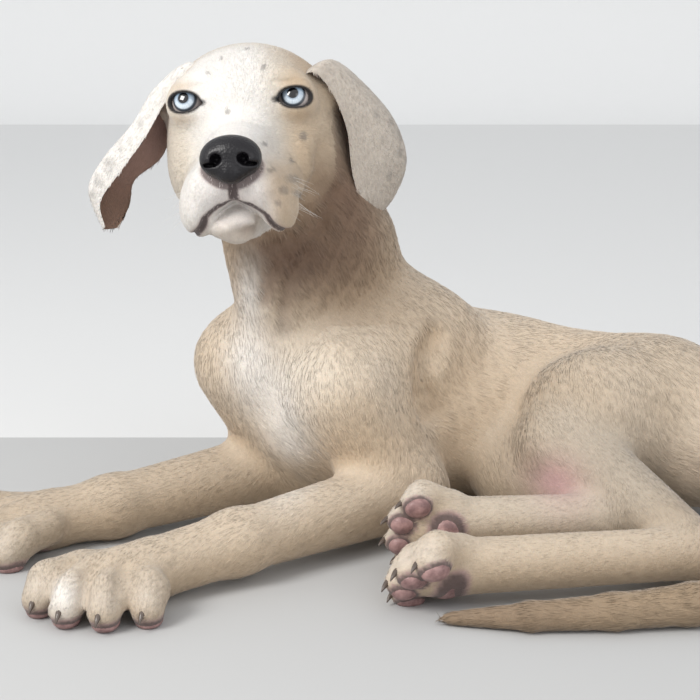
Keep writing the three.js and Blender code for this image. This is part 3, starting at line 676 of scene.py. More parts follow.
def tone(points, normals, region, inner, along):
    head = HEAD.local(points)
    colour = np.tile(np.array(FAWN), (len(points), 1))
    on_head = (region == NUMBER["head"]).astype(float)
    on_neck = (region == NUMBER["neck"]).astype(float)
    patches = wobble(points, 160.0, 3)
    colour = mix(colour, TAN, 0.28 * smoothstep(0.0, 0.9, patches))
    colour = mix(colour, CREAM, 0.35 * smoothstep(0.0, 0.9, -patches))
    # Painted light and shade: paler where the surface faces up, tan where it faces down
    colour = mix(colour, CREAM, 0.30 * smoothstep(-0.2, 0.9, normals[:, 2]))
    colour = mix(colour, TAN, 0.35 * smoothstep(0.2, -0.9, normals[:, 2]))
    # Tail
    colour = mix(colour, TAN, 0.95 * (region == NUMBER["tail"]))
    colour = mix(colour, RUSSET, 0.30 * (region == NUMBER["tail"]) * smoothstep(160, 70, points[:, 0]))
    # Head: a pale mask over the brow and muzzle, and tan on the crown, cheeks and left temple; the tan round
    # the eyes and on the left cheek and muzzle side is painted shade, and on the chin partly so
    face = on_head * smoothstep(-46, -8, head[:, 1])
    colour = mix(colour, CREAM, 0.9 * on_head)
    mask = smoothstep(34, 14, np.abs(head[:, 0] + 7 + 0.12 * head[:, 2]))
    colour = mix(colour, WHITE, face * mask * 0.95)
    muzzle = smoothstep(18, 34, head[:, 1]) * smoothstep(22, 6, head[:, 0])
    colour = mix(colour, WHITE, on_head * 0.8 * muzzle)
    colour = mix(colour, FAWN, on_head * 0.9 * smoothstep(20, 34, head[:, 0] + 0.12 * head[:, 1]))
    colour = mix(colour, TAN, on_head * 0.7 * bump(head, (32, -30, 24), (15, 18, 12)))
    colour = mix(colour, TAN, on_head * 0.75 * bump(head, (-38, -30, 20), (10, 18, 14)))
    colour = mix(colour, FAWN, on_head * 0.55 * smoothstep(-40, -80, head[:, 1]))
    # Painted shade of the brow and upper lid in tan above each eye, and a tan band below each eye
    for s in (-1, 1):
        colour = mix(colour, TAN, on_head * 0.45 * bump(head, (s * 32, 2, 8.5), (9, 12, 3.4)))
        colour = mix(colour, TAN, on_head * 0.35 * bump(head, (s * 33, 2, -10), (10, 12, 3.0)))
    # Painted shade in tan on the animal's left cheek, the side turned from the key light
    colour = mix(colour, TAN, on_head * 0.35 * bump(head, (36, 4, -40), (12, 24, 22)))
    # Tan on the chin: its own tone, deepened as painted shade under the upper lips
    colour = mix(colour, TAN, on_head * 0.5 * bump(head, (0, 40, -78), (22, 24, 8)))
    # Grey flecks
    for x, y, z, r in FACE_SPOTS:
        d = np.hypot(head[:, 0] - x, head[:, 2] - z) + 0.8 * wobble(points, 5.0, int(x * 7 + z) % 97 + 1)
        colour = mix(colour, SPOT, on_head * 0.62 * smoothstep(r * 1.35, r * 0.4, d) * (head[:, 1] > y - 26))
    # Ears
    ear = np.maximum(region == NUMBER["ear_left"], region == NUMBER["ear_right"]).astype(float)
    left_ear = (region == NUMBER["ear_left"]).astype(float)
    colour = mix(colour, CREAM, ear * (1 - inner))
    colour = mix(colour, WHITE, (ear - left_ear) * (1 - inner) * 0.9)
    colour = mix(colour, (0.50, 0.44, 0.39), left_ear * (1 - inner) * 0.55)
    for x, y, z, r in EAR_SPOTS:
        d = np.linalg.norm((points - [x, y, z]) * [1, 0.5, 0.7], axis=1)
        d = d + 0.8 * wobble(points, 6.0, int(abs(x) + z) % 89 + 2)
        colour = mix(colour, SPOT, ear * (1 - inner) * 0.38 * smoothstep(r * 1.5, r * 0.3, d))
    colour = mix(colour, PINK, ear * inner * 0.85)
    # Painted shade in russet over the inner face's pink skin, deeper towards the tip
    colour = mix(colour, RUSSET, ear * inner * (0.45 + 0.4 * smoothstep(0.45, 0.9, along)))
    # Throat, the neck's side and folds, darker beneath the head in their own russet and in painted shade,
    # painted shade along the creases, and the pale stripe down the chest
    under = on_neck + 0.8 * on_head * smoothstep(2, -22, head[:, 1]) * smoothstep(-18, -50, head[:, 2])
    # Russet throat and neck under the head: its own tone, deepened as painted shade beneath the jaw
    colour = mix(colour, TAN, 0.9 * under * bump(points, (-12, -60, 176), (44, 44, 50)))
    colour = mix(colour, RUSSET, 0.95 * under * bump(points, (-2, -46, 202), (28, 38, 50)))
    colour = mix(colour, RUSSET, 1.1 * under * bump(points, (-28, -80, 172), (44, 44, 26)))
    colour = mix(colour, WHITE, 0.85 * on_neck * bump(points, (-60, -84, 146), (9, 40, 24)))
    # Painted shade along the creases: russet under the jaw and down the throat, tan behind the shoulder
    colour = mix(colour, RUSSET, 0.65 * smoothstep(7.0, 1.5, line_distance(points, SUNK[1:])))
    colour = mix(colour, TAN, 0.75 * smoothstep(10.0, 2.0, line_distance(points, SUNK[:1])))
    colour = mix(colour, CREAM, 0.7 * bump(points, (-40, -80, 104), (38, 40, 32)))
    # Painted shade in tan on the left side of the muzzle
    colour = mix(colour, TAN, on_head * 0.45 * bump(head, (24, 42, -46), (13, 20, 18)))
    colour = colour * (node_shares(points, region) @ np.array([DEPTH[name] for name in NODES]))[:, None]
    for at, radius in (
        ((-62, -90, 112), (14, 40, 20)), ((-54, -95, 92), (17, 40, 18)), ((-46, -95, 72), (18, 40, 18)),
        ((-38, -95, 54), (15, 40, 14)),
    ):
        colour = mix(colour, WHITE, 0.95 * bump(points, at, radius))
    # Toes: one white toe on the left fore paw, paler tips on the others, mauve between and under them
    for node, side, tip in TOES:
        pale = 0.95 if node == "fore_paw_left" and -12 < side < -5 else 0.22
        colour = mix(colour, WHITE, pale * bump(points, tip + [0, 0, 5], (9, 11, 12)))
    colour = mix(colour, MAUVE, 0.8 * smoothstep(1.42, 1.24, pad_distance(points)))
    colour = mix(colour, (0.09, 0.065, 0.06), 0.85 * smoothstep(1.26, 1.14, pad_distance(points)))
    # Groin
    colour = mix(colour, PINK, 0.9 * bump(points, (120, -95, 42), (17, 30, 15)))
    # Mauve skin behind the thigh, darkened as painted shade of the hollow there
    colour = mix(colour, MAUVE, 0.6 * bump(points, (208, -110, 42), (18, 26, 18)))
    return colour


def lining(points, region):
    """Dark rims of the lids, and the lips, as two masks."""
    head = HEAD.local(points)
    rim = np.zeros(len(points))
    for s in (-1, 1):
        d = (head - [s * 32.0, 3.5, -0.2]) / [10.7, 9.0, 6.4]
        rim = np.maximum(rim, smoothstep(1.17, 1.0, np.linalg.norm(d, axis=1)))
        corner = (head - [s * 21.6, 6.0, -1.4]) / [3.4, 6.0, 2.1]
        rim = np.maximum(rim, 0.75 * smoothstep(1.3, 0.7, np.linalg.norm(corner, axis=1)))
    lips = smoothstep(5.2, 1.6, line_distance(points, LIPS + [PHILTRUM]))
    around_nose = np.linalg.norm((head - [0, 60, -40]) / [18.0, 14.0, 14.5], axis=1)
    lips = np.maximum(lips, 0.8 * smoothstep(1.12, 0.95, around_nose))
    lips = np.maximum(lips, 0.38 * bump(head, (2, 58, -60), (20, 22, 14)))
    on_head = region == NUMBER["head"]
    return rim * on_head, lips * on_head


def bare(points, region, inner):
    """How bare the skin is, from 0 under full coat to 1."""
    rim, lips = lining(points, region)
    out = np.maximum(rim, 0.9 * lips)
    out = np.maximum(out, smoothstep(1.34, 1.22, pad_distance(points)))
    out = np.maximum(out, 0.85 * smoothstep(0.35, 0.7, bump(points, (120, -95, 42), (17, 30, 15))))
    return np.maximum(out, 0.6 * inner)


# An unwrap of the body by parts: each region has a cell, with the place along it and the angle round it
AXES = {
    "torso": (V(-30, -40, 66), V(240, -50, 54)), "neck": (V(8, -2, 100), V(-50, -40, 222)),
    "head": (HEAD.place(0, -100, -15), HEAD.place(0, 75, -40)), "tail": (V(246, -74, 50), V(52, -212, 4)),
    "upper_arm_left": (V(50, -8, 108), V(34, -66, 10)), "upper_arm_right": (V(6, 36, 112), V(-38, -5, 10)),
    "foreleg_left": (V(34, -66, 27), V(-120, -182, 16)), "foreleg_right": (V(-38, -5, 27), V(-184, -90, 16)),
    "fore_paw_left": (V(-110, -170, 15), V(-142, -226, 10)),
    "fore_paw_right": (V(-180, -85, 15), V(-232, -106, 10)),
    "thigh_left": (V(200, -20, 80), V(110, -70, 56)), "thigh_right": (V(200, 0, 36), V(90, -44, 30)),
    "shank_left": (V(128, -66, 56), V(196, -156, 21)), "shank_right": (V(104, -40, 30), V(150, -112, 26)),
    "hind_paw_left": (V(196, -156, 21), V(14, -186, 20)),
    "hind_paw_right": (V(150, -112, 26), V(14, -138, 28)),
    "ear_left": (V(-15, -20, 285), V(14, -20, 180)), "ear_right": (V(-96, -24, 275), V(-146, -36, 180)),
}


def unwrap(points, region):
    u = np.zeros(len(points))
    v = np.zeros(len(points))
    for name, (a, b) in AXES.items():
        which = region == NUMBER[name]
        if not which.any():
            continue
        axis = b - a
        length = np.linalg.norm(axis)
        axis = axis / length
        e1 = np.cross(axis, (0.13, 0.95, 0.2))
        e1 = e1 / np.linalg.norm(e1)
        e2 = np.cross(axis, e1)
        d = points[which] - a
        u[which] = np.clip(0.12 + 0.76 * (d @ axis) / length, 0, 1)
        v[which] = np.arctan2(d @ e2, d @ e1) / (2 * math.pi) + 0.5
    return u, v


def in_cell(u, v, region):
    column, row = region % 5, region // 5
    return (column + 0.04 + 0.92 * u) / 5.0, (row + 0.04 + 0.92 * v) / 5.0


# Mesh objects from arrays
def mesh_object(name, points, faces, smooth=True, uv=None, colours=None, normals=None):
    faces = np.asarray(faces)
    corners = faces.shape[1]
    me = bpy.data.meshes.new(name)
    me.vertices.add(len(points))
    me.vertices.foreach_set("co", metres(points).astype(np.float32).ravel())
    me.loops.add(faces.size)
    me.loops.foreach_set("vertex_index", faces.astype(np.int32).ravel())
    me.polygons.add(len(faces))
    me.polygons.foreach_set("loop_start", np.arange(0, faces.size, corners, dtype=np.int32))
    me.polygons.foreach_set("use_smooth", np.full(len(faces), smooth))
    if uv is not None:
        layer = me.uv_layers.new(name="OFBake")
        layer.data.foreach_set("uv", uv.astype(np.float32).ravel())
    me.update(calc_edges=True)
    for key, value in (colours or {}).items():
        layer = me.color_attributes.new(key, "FLOAT_COLOR", "POINT")
        full = np.concatenate([value, np.ones((len(value), 1))], 1)
        layer.data.foreach_set("color", full.astype(np.float32).ravel())
    if normals is not None:
        me.normals_split_custom_set_from_vertices(normals.tolist())
    ob = bpy.data.objects.new(name, me)
    bpy.context.scene.collection.objects.link(ob)
    return ob


def own(ob, slot, material, *nodes):
    ob.data.materials.append(material)
    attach(ob, "root")
    if nodes:
        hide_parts(*nodes)
    return ob


# Materials
def material(name, colour, roughness, **sockets):
    m = bpy.data.materials.new(name)
    m.use_nodes = True
    b = m.node_tree.nodes["Principled BSDF"]
    b.inputs["Base Color"].default_value = (*colour, 1)
    b.inputs["Roughness"].default_value = roughness
    for key, value in sockets.items():
        b.inputs[key.replace("_", " ")].default_value = value
    return m, m.node_tree.nodes, m.node_tree.links, b


def add(nodes, kind, **values):
    n = nodes.new(kind)
    for key, value in values.items():
        if hasattr(n, key):
            setattr(n, key, value)
        else:
            n.inputs[key.replace("_", " ")].default_value = value
    return n


def skin_material():
    m, nodes, links, b = material("skin", FAWN, 0.72, Sheen_Weight=0.15, Sheen_Roughness=0.5)
    b.inputs["Subsurface Weight"].default_value = 0.06
    b.inputs["Subsurface Radius"].default_value = (0.004, 0.002, 0.001)
    b.inputs["Specular IOR Level"].default_value = 0.3
    tint = add(nodes, "ShaderNodeAttribute", attribute_name="Tone")
    where = add(nodes, "ShaderNodeTexCoord")
    stretch = add(nodes, "ShaderNodeMapping")
    stretch.inputs["Scale"].default_value = (1.0, 1.0, 0.55)
    hairs = add(nodes, "ShaderNodeTexNoise", Scale=1500.0, Detail=3.0, Roughness=0.6)
    broad = add(nodes, "ShaderNodeTexNoise", Scale=260.0, Detail=3.0, Roughness=0.6)
    links.new(where.outputs["Object"], stretch.inputs["Vector"])
    links.new(stretch.outputs["Vector"], hairs.inputs["Vector"])
    links.new(where.outputs["Object"], broad.inputs["Vector"])
    both = add(nodes, "ShaderNodeMath", operation="ADD")
    links.new(hairs.outputs["Fac"], both.inputs[0])
    links.new(broad.outputs["Fac"], both.inputs[1])
    shade = add(nodes, "ShaderNodeMapRange")
    for socket, value in (("From Min", 0.6), ("From Max", 1.4), ("To Min", 0.86), ("To Max", 1.12)):
        shade.inputs[socket].default_value = value
    links.new(both.outputs["Value"], shade.inputs["Value"])
    scaled = add(nodes, "ShaderNodeVectorMath", operation="SCALE")
    links.new(tint.outputs["Color"], scaled.inputs[0])
    links.new(shade.outputs["Result"], scaled.inputs["Scale"])
    links.new(scaled.outputs["Vector"], b.inputs["Base Color"])
    relief = add(nodes, "ShaderNodeBump", Strength=0.5, Distance=0.0007)
    links.new(both.outputs["Value"], relief.inputs["Height"])
    links.new(relief.outputs["Normal"], b.inputs["Normal"])
    return m


def coat_material():
    m, nodes, links, b = material("coat", FAWN, 0.62, Sheen_Weight=0.25, Sheen_Roughness=0.45)
    b.inputs["Specular IOR Level"].default_value = 0.35
    tint = add(nodes, "ShaderNodeAttribute", attribute_name="Tone")
    links.new(tint.outputs["Color"], b.inputs["Base Color"])
    return m


def nose_material():
    m, nodes, links, b = material("nose leather", (0.006, 0.005, 0.007), 0.42, Coat_Weight=0.2)
    b.inputs["Specular IOR Level"].default_value = 0.35
    b.inputs["Coat Roughness"].default_value = 0.22
    where = add(nodes, "ShaderNodeTexCoord")
    cells = add(nodes, "ShaderNodeTexVoronoi", Scale=820.0)
    relief = add(nodes, "ShaderNodeBump", Strength=0.45, Distance=0.0005)
    links.new(where.outputs["Object"], cells.inputs["Vector"])
    links.new(cells.outputs["Distance"], relief.inputs["Height"])
    links.new(relief.outputs["Normal"], b.inputs["Normal"])
    return m


def eye_material():
    m, nodes, links, b = material("eye", (0.5, 0.5, 0.5), 0.12, Coat_Weight=1.0)
    b.inputs["Coat Roughness"].default_value = 0.02
    tint = add(nodes, "ShaderNodeAttribute", attribute_name="Tone")
    links.new(tint.outputs["Color"], b.inputs["Base Color"])
    return m


SKIN = skin_material()
COAT = coat_material()
NOSE = nose_material()
EYE = eye_material()
CLAW = material("claw", (0.10, 0.075, 0.06), 0.35, Coat_Weight=0.3)[0]
WHISKER = material("whisker", (0.75, 0.72, 0.68), 0.4)[0]

# The skin piece
skin_tone = tone(skin_points, skin_normals, skin_region, skin_inner, skin_along)
rim_mask, lip_mask = lining(skin_points, skin_region)
skin_tone = mix(skin_tone, MAUVE, 0.75 * lip_mask)
skin_tone = mix(skin_tone, (0.05, 0.036, 0.036), 0.9 * smoothstep(0.5, 0.95, lip_mask))
skin_tone = mix(skin_tone, LINER, rim_mask)
face_region = skin_region[skin_quads[:, 0]]
corner_u, corner_v = [], []
for c in range(4):
    u, v = unwrap(skin_points[skin_quads[:, c]], face_region)
    corner_u.append(u)
    corner_v.append(v)
corner_u = np.stack(corner_u, 1)
corner_v = np.stack(corner_v, 1)
corner_v = corner_v[:, :1] + (corner_v - corner_v[:, :1] + 0.5) % 1.0 - 0.5
skin_u, skin_v = in_cell(corner_u, np.clip(corner_v, 0, 1), face_region[:, None])
skin_object = mesh_object(
    "skin", skin_points, skin_quads, True, np.stack([skin_u, skin_v], 2).reshape(-1, 2), {"Tone": skin_tone}
)
own(skin_object, "coat", SKIN, *NODES)

# Which way the hair lies: back from the nose on the head, and down each limb
LIE = {
    "torso": (0.93, 0.05, -0.32), "neck": (0.42, 0.1, -0.9), "head": (0, 0, 0), "tail": (0, 0, 0),
    "upper_arm_left": (0.2, -0.1, -0.95), "upper_arm_right": (0.2, 0.1, -0.95),
    "foreleg_left": (-0.62, -0.5, -0.3), "foreleg_right": (-0.8, -0.45, -0.3),
    "fore_paw_left": (-0.25, -0.85, -0.4), "fore_paw_right": (-0.85, -0.4, -0.3),
    "thigh_left": (0.3, -0.5, -0.8), "thigh_right": (0.3, -0.5, -0.8),
    "shank_left": (0.55, -0.65, -0.4), "shank_right": (0.5, -0.7, -0.3),
    "hind_paw_left": (-0.98, -0.15, -0.1), "hind_paw_right": (-0.97, -0.2, -0.1),
    "ear_left": (0.2, 0.05, -0.97), "ear_right": (-0.4, 0.0, -0.9),
}
LENGTH = {
    "torso": 6.6, "neck": 6.2, "head": 3.2, "tail": 7.0, "upper_arm_left": 6.0, "upper_arm_right": 6.0,
    "foreleg_left": 4.6, "foreleg_right": 4.6, "fore_paw_left": 3.0, "fore_paw_right": 3.0, "thigh_left": 6.4,
    "thigh_right": 6.4, "shank_left": 5.0, "shank_right": 5.0, "hind_paw_left": 3.4, "hind_paw_right": 3.4,
    "ear_left": 3.2, "ear_right": 3.2,
}
DENSITY = {"head": 3.2, "ear_left": 2.2, "ear_right": 2.2, "fore_paw_left": 2.0, "fore_paw_right": 2.0}


def lie_of(points, region):
    share = node_shares(points, region)
    lie = share @ np.array([LIE[name] for name in NODES])
    back = points - HEAD.place(0, 66, -30)
    back = back / np.linalg.norm(back, axis=1, keepdims=True)
    down = HEAD.local(points)
    back = back + smoothstep(-10, -45, down[:, 2])[:, None] * np.array([0, 0, -0.5])
    lie += share[:, NUMBER["head"]][:, None] * back
    way = np.zeros_like(points)
    best = np.full(len(points), 1e9)
    for (a, _), (b, _) in zip(TAIL, TAIL[1:]):
        t = np.clip((points - a) @ (b - a) / ((b - a) @ (b - a)), 0, 1)
        d = np.linalg.norm(points - a - t[:, None] * (b - a), axis=1)
        closer = d < best
        way[closer] = (b - a) / np.linalg.norm(b - a)
        best = np.minimum(best, d)
    lie += share[:, NUMBER["tail"]][:, None] * way
    swirl = np.stack([wobble(points, 60.0, 21), wobble(points, 60.0, 22), wobble(points, 60.0, 23)], 1)
    return lie + 0.22 * swirl


# Tufts of the coat, each a thin closed blade rooted in the skin
def grow(count):
    a, b, c, d = (skin_points[skin_quads[:, m]] for m in range(4))
    area = 0.5 * np.linalg.norm(np.cross(c - a, d - b), axis=1)
    thick = np.array([DENSITY.get(name, 1.0) for name in NODES])[face_region]
    centre = (a + b + c + d) / 4
    chance = area * thick * (1 - 0.97 * bare(centre, face_region, skin_inner[skin_quads[:, 0]]))
    chance *= np.where(centre[:, 2] < 1.5, 0.0, 1.0)
    ear_root = (face_region >= NUMBER["ear_left"]) & (skin_along[skin_quads[:, 0]] < 0.2)
    chance *= np.where(ear_root & (skin_inner[skin_quads[:, 0]] > 0), 0.0, 1.0)
    pick = RNG.choice(len(skin_quads), count, p=chance / chance.sum())
    s, t = RNG.random((2, count, 1))
    q = skin_quads[pick]
    spread = [(1 - s) * (1 - t), s * (1 - t), s * t, (1 - s) * t]
    root = sum(w * skin_points[q[:, m]] for m, w in enumerate(spread))
    normal = sum(w * skin_normals[q[:, m]] for m, w in enumerate(spread))
    normal /= np.linalg.norm(normal, axis=1, keepdims=True)
    return root, normal, face_region[pick], skin_inner[q[:, 0]], skin_along[q[:, 0]]


def blades(root, normal, region, inner, along, colour):
    n = len(root)
    lie = lie_of(root, region)
    lie += RNG.normal(0, 0.10, (n, 3)) * np.linalg.norm(lie, axis=1, keepdims=True)
    lie -= normal * np.einsum("ij,ij->i", lie, normal)[:, None]
    lie /= np.maximum(np.linalg.norm(lie, axis=1, keepdims=True), 1e-6)
    side = np.cross(normal, lie)
    length = np.array([LENGTH[name] for name in NODES])[region]
    head = HEAD.local(root)
    muzzle = (region == NUMBER["head"]) * smoothstep(0, 40, head[:, 1])
    length = length * (1 - 0.4 * muzzle) * RNG.uniform(0.7, 1.15, n)
    for s in (-1, 1):
        near_eye = np.linalg.norm(head - [s * 31, 4, 0], axis=1)
        length = length * np.where(region == NUMBER["head"], 0.45 + 0.55 * smoothstep(9, 22, near_eye), 1.0)
    width = np.clip(0.05 * length, 0.13, 0.30) * RNG.uniform(0.8, 1.2, n)
    rise = RNG.uniform(0.015, 0.055, n)
    length, width, rise = length[:, None], width[:, None], rise[:, None]
    base = root - normal * 0.25
    middle = root + lie * length * 0.5 + normal * (length * rise * 1.25)
    tip = root + lie * length + normal * (length * rise * 1.1)
    rings = [
        base - side * width, base + side * width, base + normal * (width * 0.4 + 0.25),
        middle - side * width * 0.8, middle + side * width * 0.8, middle + normal * width * 0.4, tip,
    ]
    points = np.stack(rings, 1).reshape(-1, 3)
    points[:, 2] = np.maximum(points[:, 2], 0.12)
    one = np.array([
        (0, 1, 2), (0, 3, 4), (0, 4, 1), (1, 4, 5), (1, 5, 2),
        (2, 5, 3), (2, 3, 0), (3, 6, 4), (4, 6, 5), (5, 6, 3),
    ])[:, ::-1]
    faces = (np.arange(n)[:, None, None] * 7 + one[None]).reshape(-1, 3)
    u, v = unwrap(root, region)
    u, v = in_cell(u, v, region)
    patch = 0.0015 * np.array([(-1, -1), (1, -1), (0, -0.6), (-0.7, 0), (0.7, 0), (0, 0.3), (0, 1)])
    spot = np.stack([u, v], 1)[:, None] + patch[None]
    uv = spot[:, one.ravel()].reshape(-1, 2)
    tones = np.repeat(colour, 7, axis=0)
    lean = normal + 0.16 * side * RNG.normal(0, 1, (n, 1)) + 0.10 * lie * RNG.normal(0, 1, (n, 1))
    around = 0.22 * np.array([-1, 1, 0, -1, 1, 0, 0])[None, :, None] * side[:, None]
    shade = (lean[:, None] + around).reshape(-1, 3)
    shade /= np.linalg.norm(shade, axis=1, keepdims=True)
    return points, faces, uv, tones, shade


root, normal, region, inner, along = grow(TUFTS)
base_colour = tone(root, normal, region, inner, along)
rim_mask, lip_mask = lining(root, region)
base_colour = mix(base_colour, MAUVE, 0.5 * lip_mask)
base_colour = mix(base_colour, LINER, 0.9 * rim_mask)
base_colour = base_colour * RNG.normal(1.0, 0.045, (len(root), 1))
base_colour = np.clip(base_colour * 1.03, 0.01, 0.95)
PIECES = {
    "coat_torso": ["torso"],
    "coat_neck": ["neck"],
    "coat_head": ["head"],
    "coat_ears": ["ear_left", "ear_right"],
    "coat_arms": ["upper_arm_left", "upper_arm_right", "foreleg_left", "foreleg_right"],
    "coat_paws": ["fore_paw_left", "fore_paw_right", "hind_paw_left", "hind_paw_right"],
    "coat_thighs": ["thigh_left", "thigh_right", "shank_left", "shank_right"],
    "coat_tail": ["tail"],
}
MOST = 18000
for name, members in PIECES.items():
    which = np.flatnonzero(np.isin(region, [NUMBER[m] for m in members]))
    for part in range(math.ceil(len(which) / MOST)):
        some = which[part * MOST:(part + 1) * MOST]
        made = blades(root[some], normal[some], region[some], inner[some], along[some], base_colour[some])
        ob = mesh_object(f"{name}_{part + 1}", made[0], made[1], True, made[2], {"Tone": made[3]}, made[4])
        own(ob, "coat", COAT)


# Eyes: a ball with a domed cornea, looking up and a little to the animal's right
def eye_object(name, s):
    centre = HEAD.place(s * EYE_AT[0], EYE_AT[1], EYE_AT[2])
    gaze = HEAD.place(s * 4.0 - 3.0, 40, 9.0) - HEAD.place(0, 0, 0)
    gaze /= np.linalg.norm(gaze)
    e1 = np.cross(gaze, HEAD.up)
    e1 /= np.linalg.norm(e1)
    e2 = np.cross(e1, gaze)
    rings, sides = 96, 96
    a = np.linspace(0, math.pi, rings + 1)[1:-1]
    turn = np.linspace(0, 2 * math.pi, sides, endpoint=False)
    angle, turn = np.meshgrid(a, turn, indexing="ij")
    way = (
        np.cos(angle)[..., None] * gaze
        + np.sin(angle)[..., None] * (np.cos(turn)[..., None] * e1 + np.sin(turn)[..., None] * e2)
    ).reshape(-1, 3)
    angle, turn = angle.ravel(), turn.ravel()
    off = EYE_RADIUS * np.sin(angle)
    dome = 0.75 * smoothstep(7.6, 3.0, off) * (angle < 1.5)
    radius = EYE_RADIUS - 0.35 + dome
    points = centre + way * radius[:, None]
    ends = np.array([centre + gaze * (EYE_RADIUS + 0.4), centre - gaze * (EYE_RADIUS - 0.35)])
    points = np.concatenate([points, ends])
    i, j = np.meshgrid(np.arange(rings - 2), np.arange(sides), indexing="ij")
    i, j = i.ravel(), j.ravel()
    k = (j + 1) % sides
    quads = np.stack([i * sides + j, (i + 1) * sides + j, (i + 1) * sides + k, i * sides + k], 1)
    j = np.arange(sides)
    k = (j + 1) % sides
    top, bottom = len(points) - 2, len(points) - 1
    last = (rings - 2) * sides
    caps = np.concatenate([
        np.stack([np.full(sides, top), j, k], 1),
        np.stack([np.full(sides, bottom), last + k, last + j], 1),
    ])
    tris = np.concatenate([quads[:, [0, 1, 2]], quads[:, [0, 2, 3]], caps])
    front = np.concatenate([angle < 1.5, [True, False]])
    off = np.where(front, np.concatenate([off, [0, 0]]), 20.0)
    turn = np.concatenate([turn, [0, 0]])
    streaks = 0.5 + 0.28 * np.sin(turn * 23 + 2 * np.sin(turn * 7)) + 0.22 * np.sin(turn * 41 + 3 * off)
    colour = np.tile(np.array([0.62, 0.55, 0.52]), (len(points), 1))
    blue = np.array([0.36, 0.50, 0.66]) + streaks[:, None] * np.array([0.22, 0.20, 0.16])
    # Painted light and shade on the iris: brighter in its lower half as reflected light, darker above as the
    # upper lid's shadow
    lit_lower_half = smoothstep(2.5, -5.0, off * np.sin(turn))
    blue = blue * (0.72 + 0.28 * lit_lower_half[:, None]) + lit_lower_half[:, None] * np.array([0.24, 0.20, 0.14])
    inside = smoothstep(IRIS_RADIUS + 0.1, IRIS_RADIUS - 0.5, off)[:, None]
    colour = colour * (1 - inside) + blue * inside
    ring = smoothstep(1.15, 0.35, np.abs(off - IRIS_RADIUS + 0.15))
    colour = mix(colour, (0.035, 0.045, 0.06), 0.93 * ring)
    inner_ring = smoothstep(PUPIL_RADIUS + 1.3, PUPIL_RADIUS, off)
    colour = mix(colour, (0.16, 0.22, 0.30), 0.7 * inner_ring)
    colour = mix(colour, (0.004, 0.004, 0.005), smoothstep(PUPIL_RADIUS + 0.3, PUPIL_RADIUS - 0.15, off))
    ob = mesh_object("eyeball_" + name, points, tris, True, None, {"Tone": colour})
    return own(ob, "eye", EYE, "eye_" + name)


eye_object("left", 1)
eye_object("right", -1)


# Small solids from forms on a lattice of their own
def small_solid(name, forms, centre, half, step, inset):
    lines = [np.arange(c - h, c + h, step) for c, h in zip(centre, half)]
    grid = np.stack(np.meshgrid(*lines, indexing="ij"), -1).reshape(-1, 3)
    values = solid_distance(forms, grid, inset).reshape([len(a) for a in lines]).astype(np.float32)
    points, quads = net(values, lines)
    points = smoothed(points, quads, 2, np.full(len(points), 0.6))
    return mesh_object(name, points, quads)


del FORMS[:]
egg("nose", HEAD, [0, 62, -35], [16.5, 11, 11], 5)
egg("nose", HEAD, [0, 65, -45], [9, 8, 7], 5)
for s in (-1, 1):
    egg("nose", HEAD, [s * 9, 64, -39], [8, 8, 8], 4)
for s in (-1, 1):
    dent(HEAD, [s * 7.4, 72, -38], [3.1, 8, 2.9], 1.6)
    dent(HEAD, [s * 11.0, 69, -41], [4.0, 6.0, 1.1], 1.6)
groove(HEAD.place(0, 74.5, -33), HEAD.place(0, 74, -44), 0.8, 1.4)
groove(HEAD.place(0, 74, -44), HEAD.place(0, 70, -54), 0.9, 1.4)
nose = small_solid("nose_leather", list(FORMS), HEAD.place(0, 62, -40), (26, 20, 22), 0.6, 0.45)
own(nose, "nose", NOSE, "nose")


# Tapering rods for claws and whiskers
def rods(name, paths, sides=6):
    points, faces = [], []
    for path, radii in paths:
        path = np.array(path, float)
        start = len(points)
        for i, (p, r) in enumerate(zip(path, radii)):
            ahead = path[min(i + 1, len(path) - 1)] - path[max(i - 1, 0)]
            ahead = ahead / np.linalg.norm(ahead)
            e1 = np.cross(ahead, (0.3, 0.2, 0.93))
            e1 = e1 / np.linalg.norm(e1)
            e2 = np.cross(ahead, e1)
            for j in range(sides):
                angle = 2 * math.pi * j / sides
                points.append(p + r * (math.cos(angle) * e1 + math.sin(angle) * e2))
        for i in range(len(path) - 1):
            for j in range(sides):
                a = start + i * sides + j
                b = start + i * sides + (j + 1) % sides
                faces += [(a, b, b + sides), (a, b + sides, a + sides)]
        for j in range(1, sides - 1):
            faces.append((start, start + j + 1, start + j))
            last = start + (len(path) - 1) * sides
            faces.append((last, last + j, last + j + 1))
    return mesh_object(name, np.array(points), np.array(faces))


claw_paths = []
for a, b in CLAWS:
    middle = a + 0.55 * (b - a) + [0, 0, 1.3]
    tip = b.copy()
    tip[2] = max(tip[2], 1.2)
    t = np.linspace(0, 1, 9)[:, None]
    path = (1 - t) ** 2 * (a - 1.5 * (b - a) / 6) + 2 * t * (1 - t) * (middle + [0, 0, 0.4]) + t ** 2 * tip
    claw_paths.append((path, 1.6 * (1 - np.linspace(0, 1, 9) ** 1.6) + 0.25))
own(rods("claws", claw_paths, 12), "claw", CLAW)

whisker_paths = []
for s in (-1, 1):
    for row in range(4):
        for column in range(5):
            y = 52 - 7.5 * column - 2 * row
            x = s * (15.5 + 2.2 * column + 0.8 * row)
            z = -46 - 5.2 * row
            reach = RNG.uniform(14, 26)
            out = np.array([s * 0.85, -0.35 + RNG.uniform(-0.15, 0.2), -0.25 + RNG.uniform(-0.2, 0.25)])
            t = np.linspace(0, 1, 8)[:, None]
            local = np.array([x, y, z]) + out * reach * t + np.array([0, 0, -5.0]) * t ** 2
            path = HEAD.origin + local @ HEAD.axes
            whisker_paths.append((path, 0.13 * (1 - np.linspace(0, 1, 8)) + 0.03))
own(rods("whiskers", whisker_paths, 4), "coat", WHISKER)


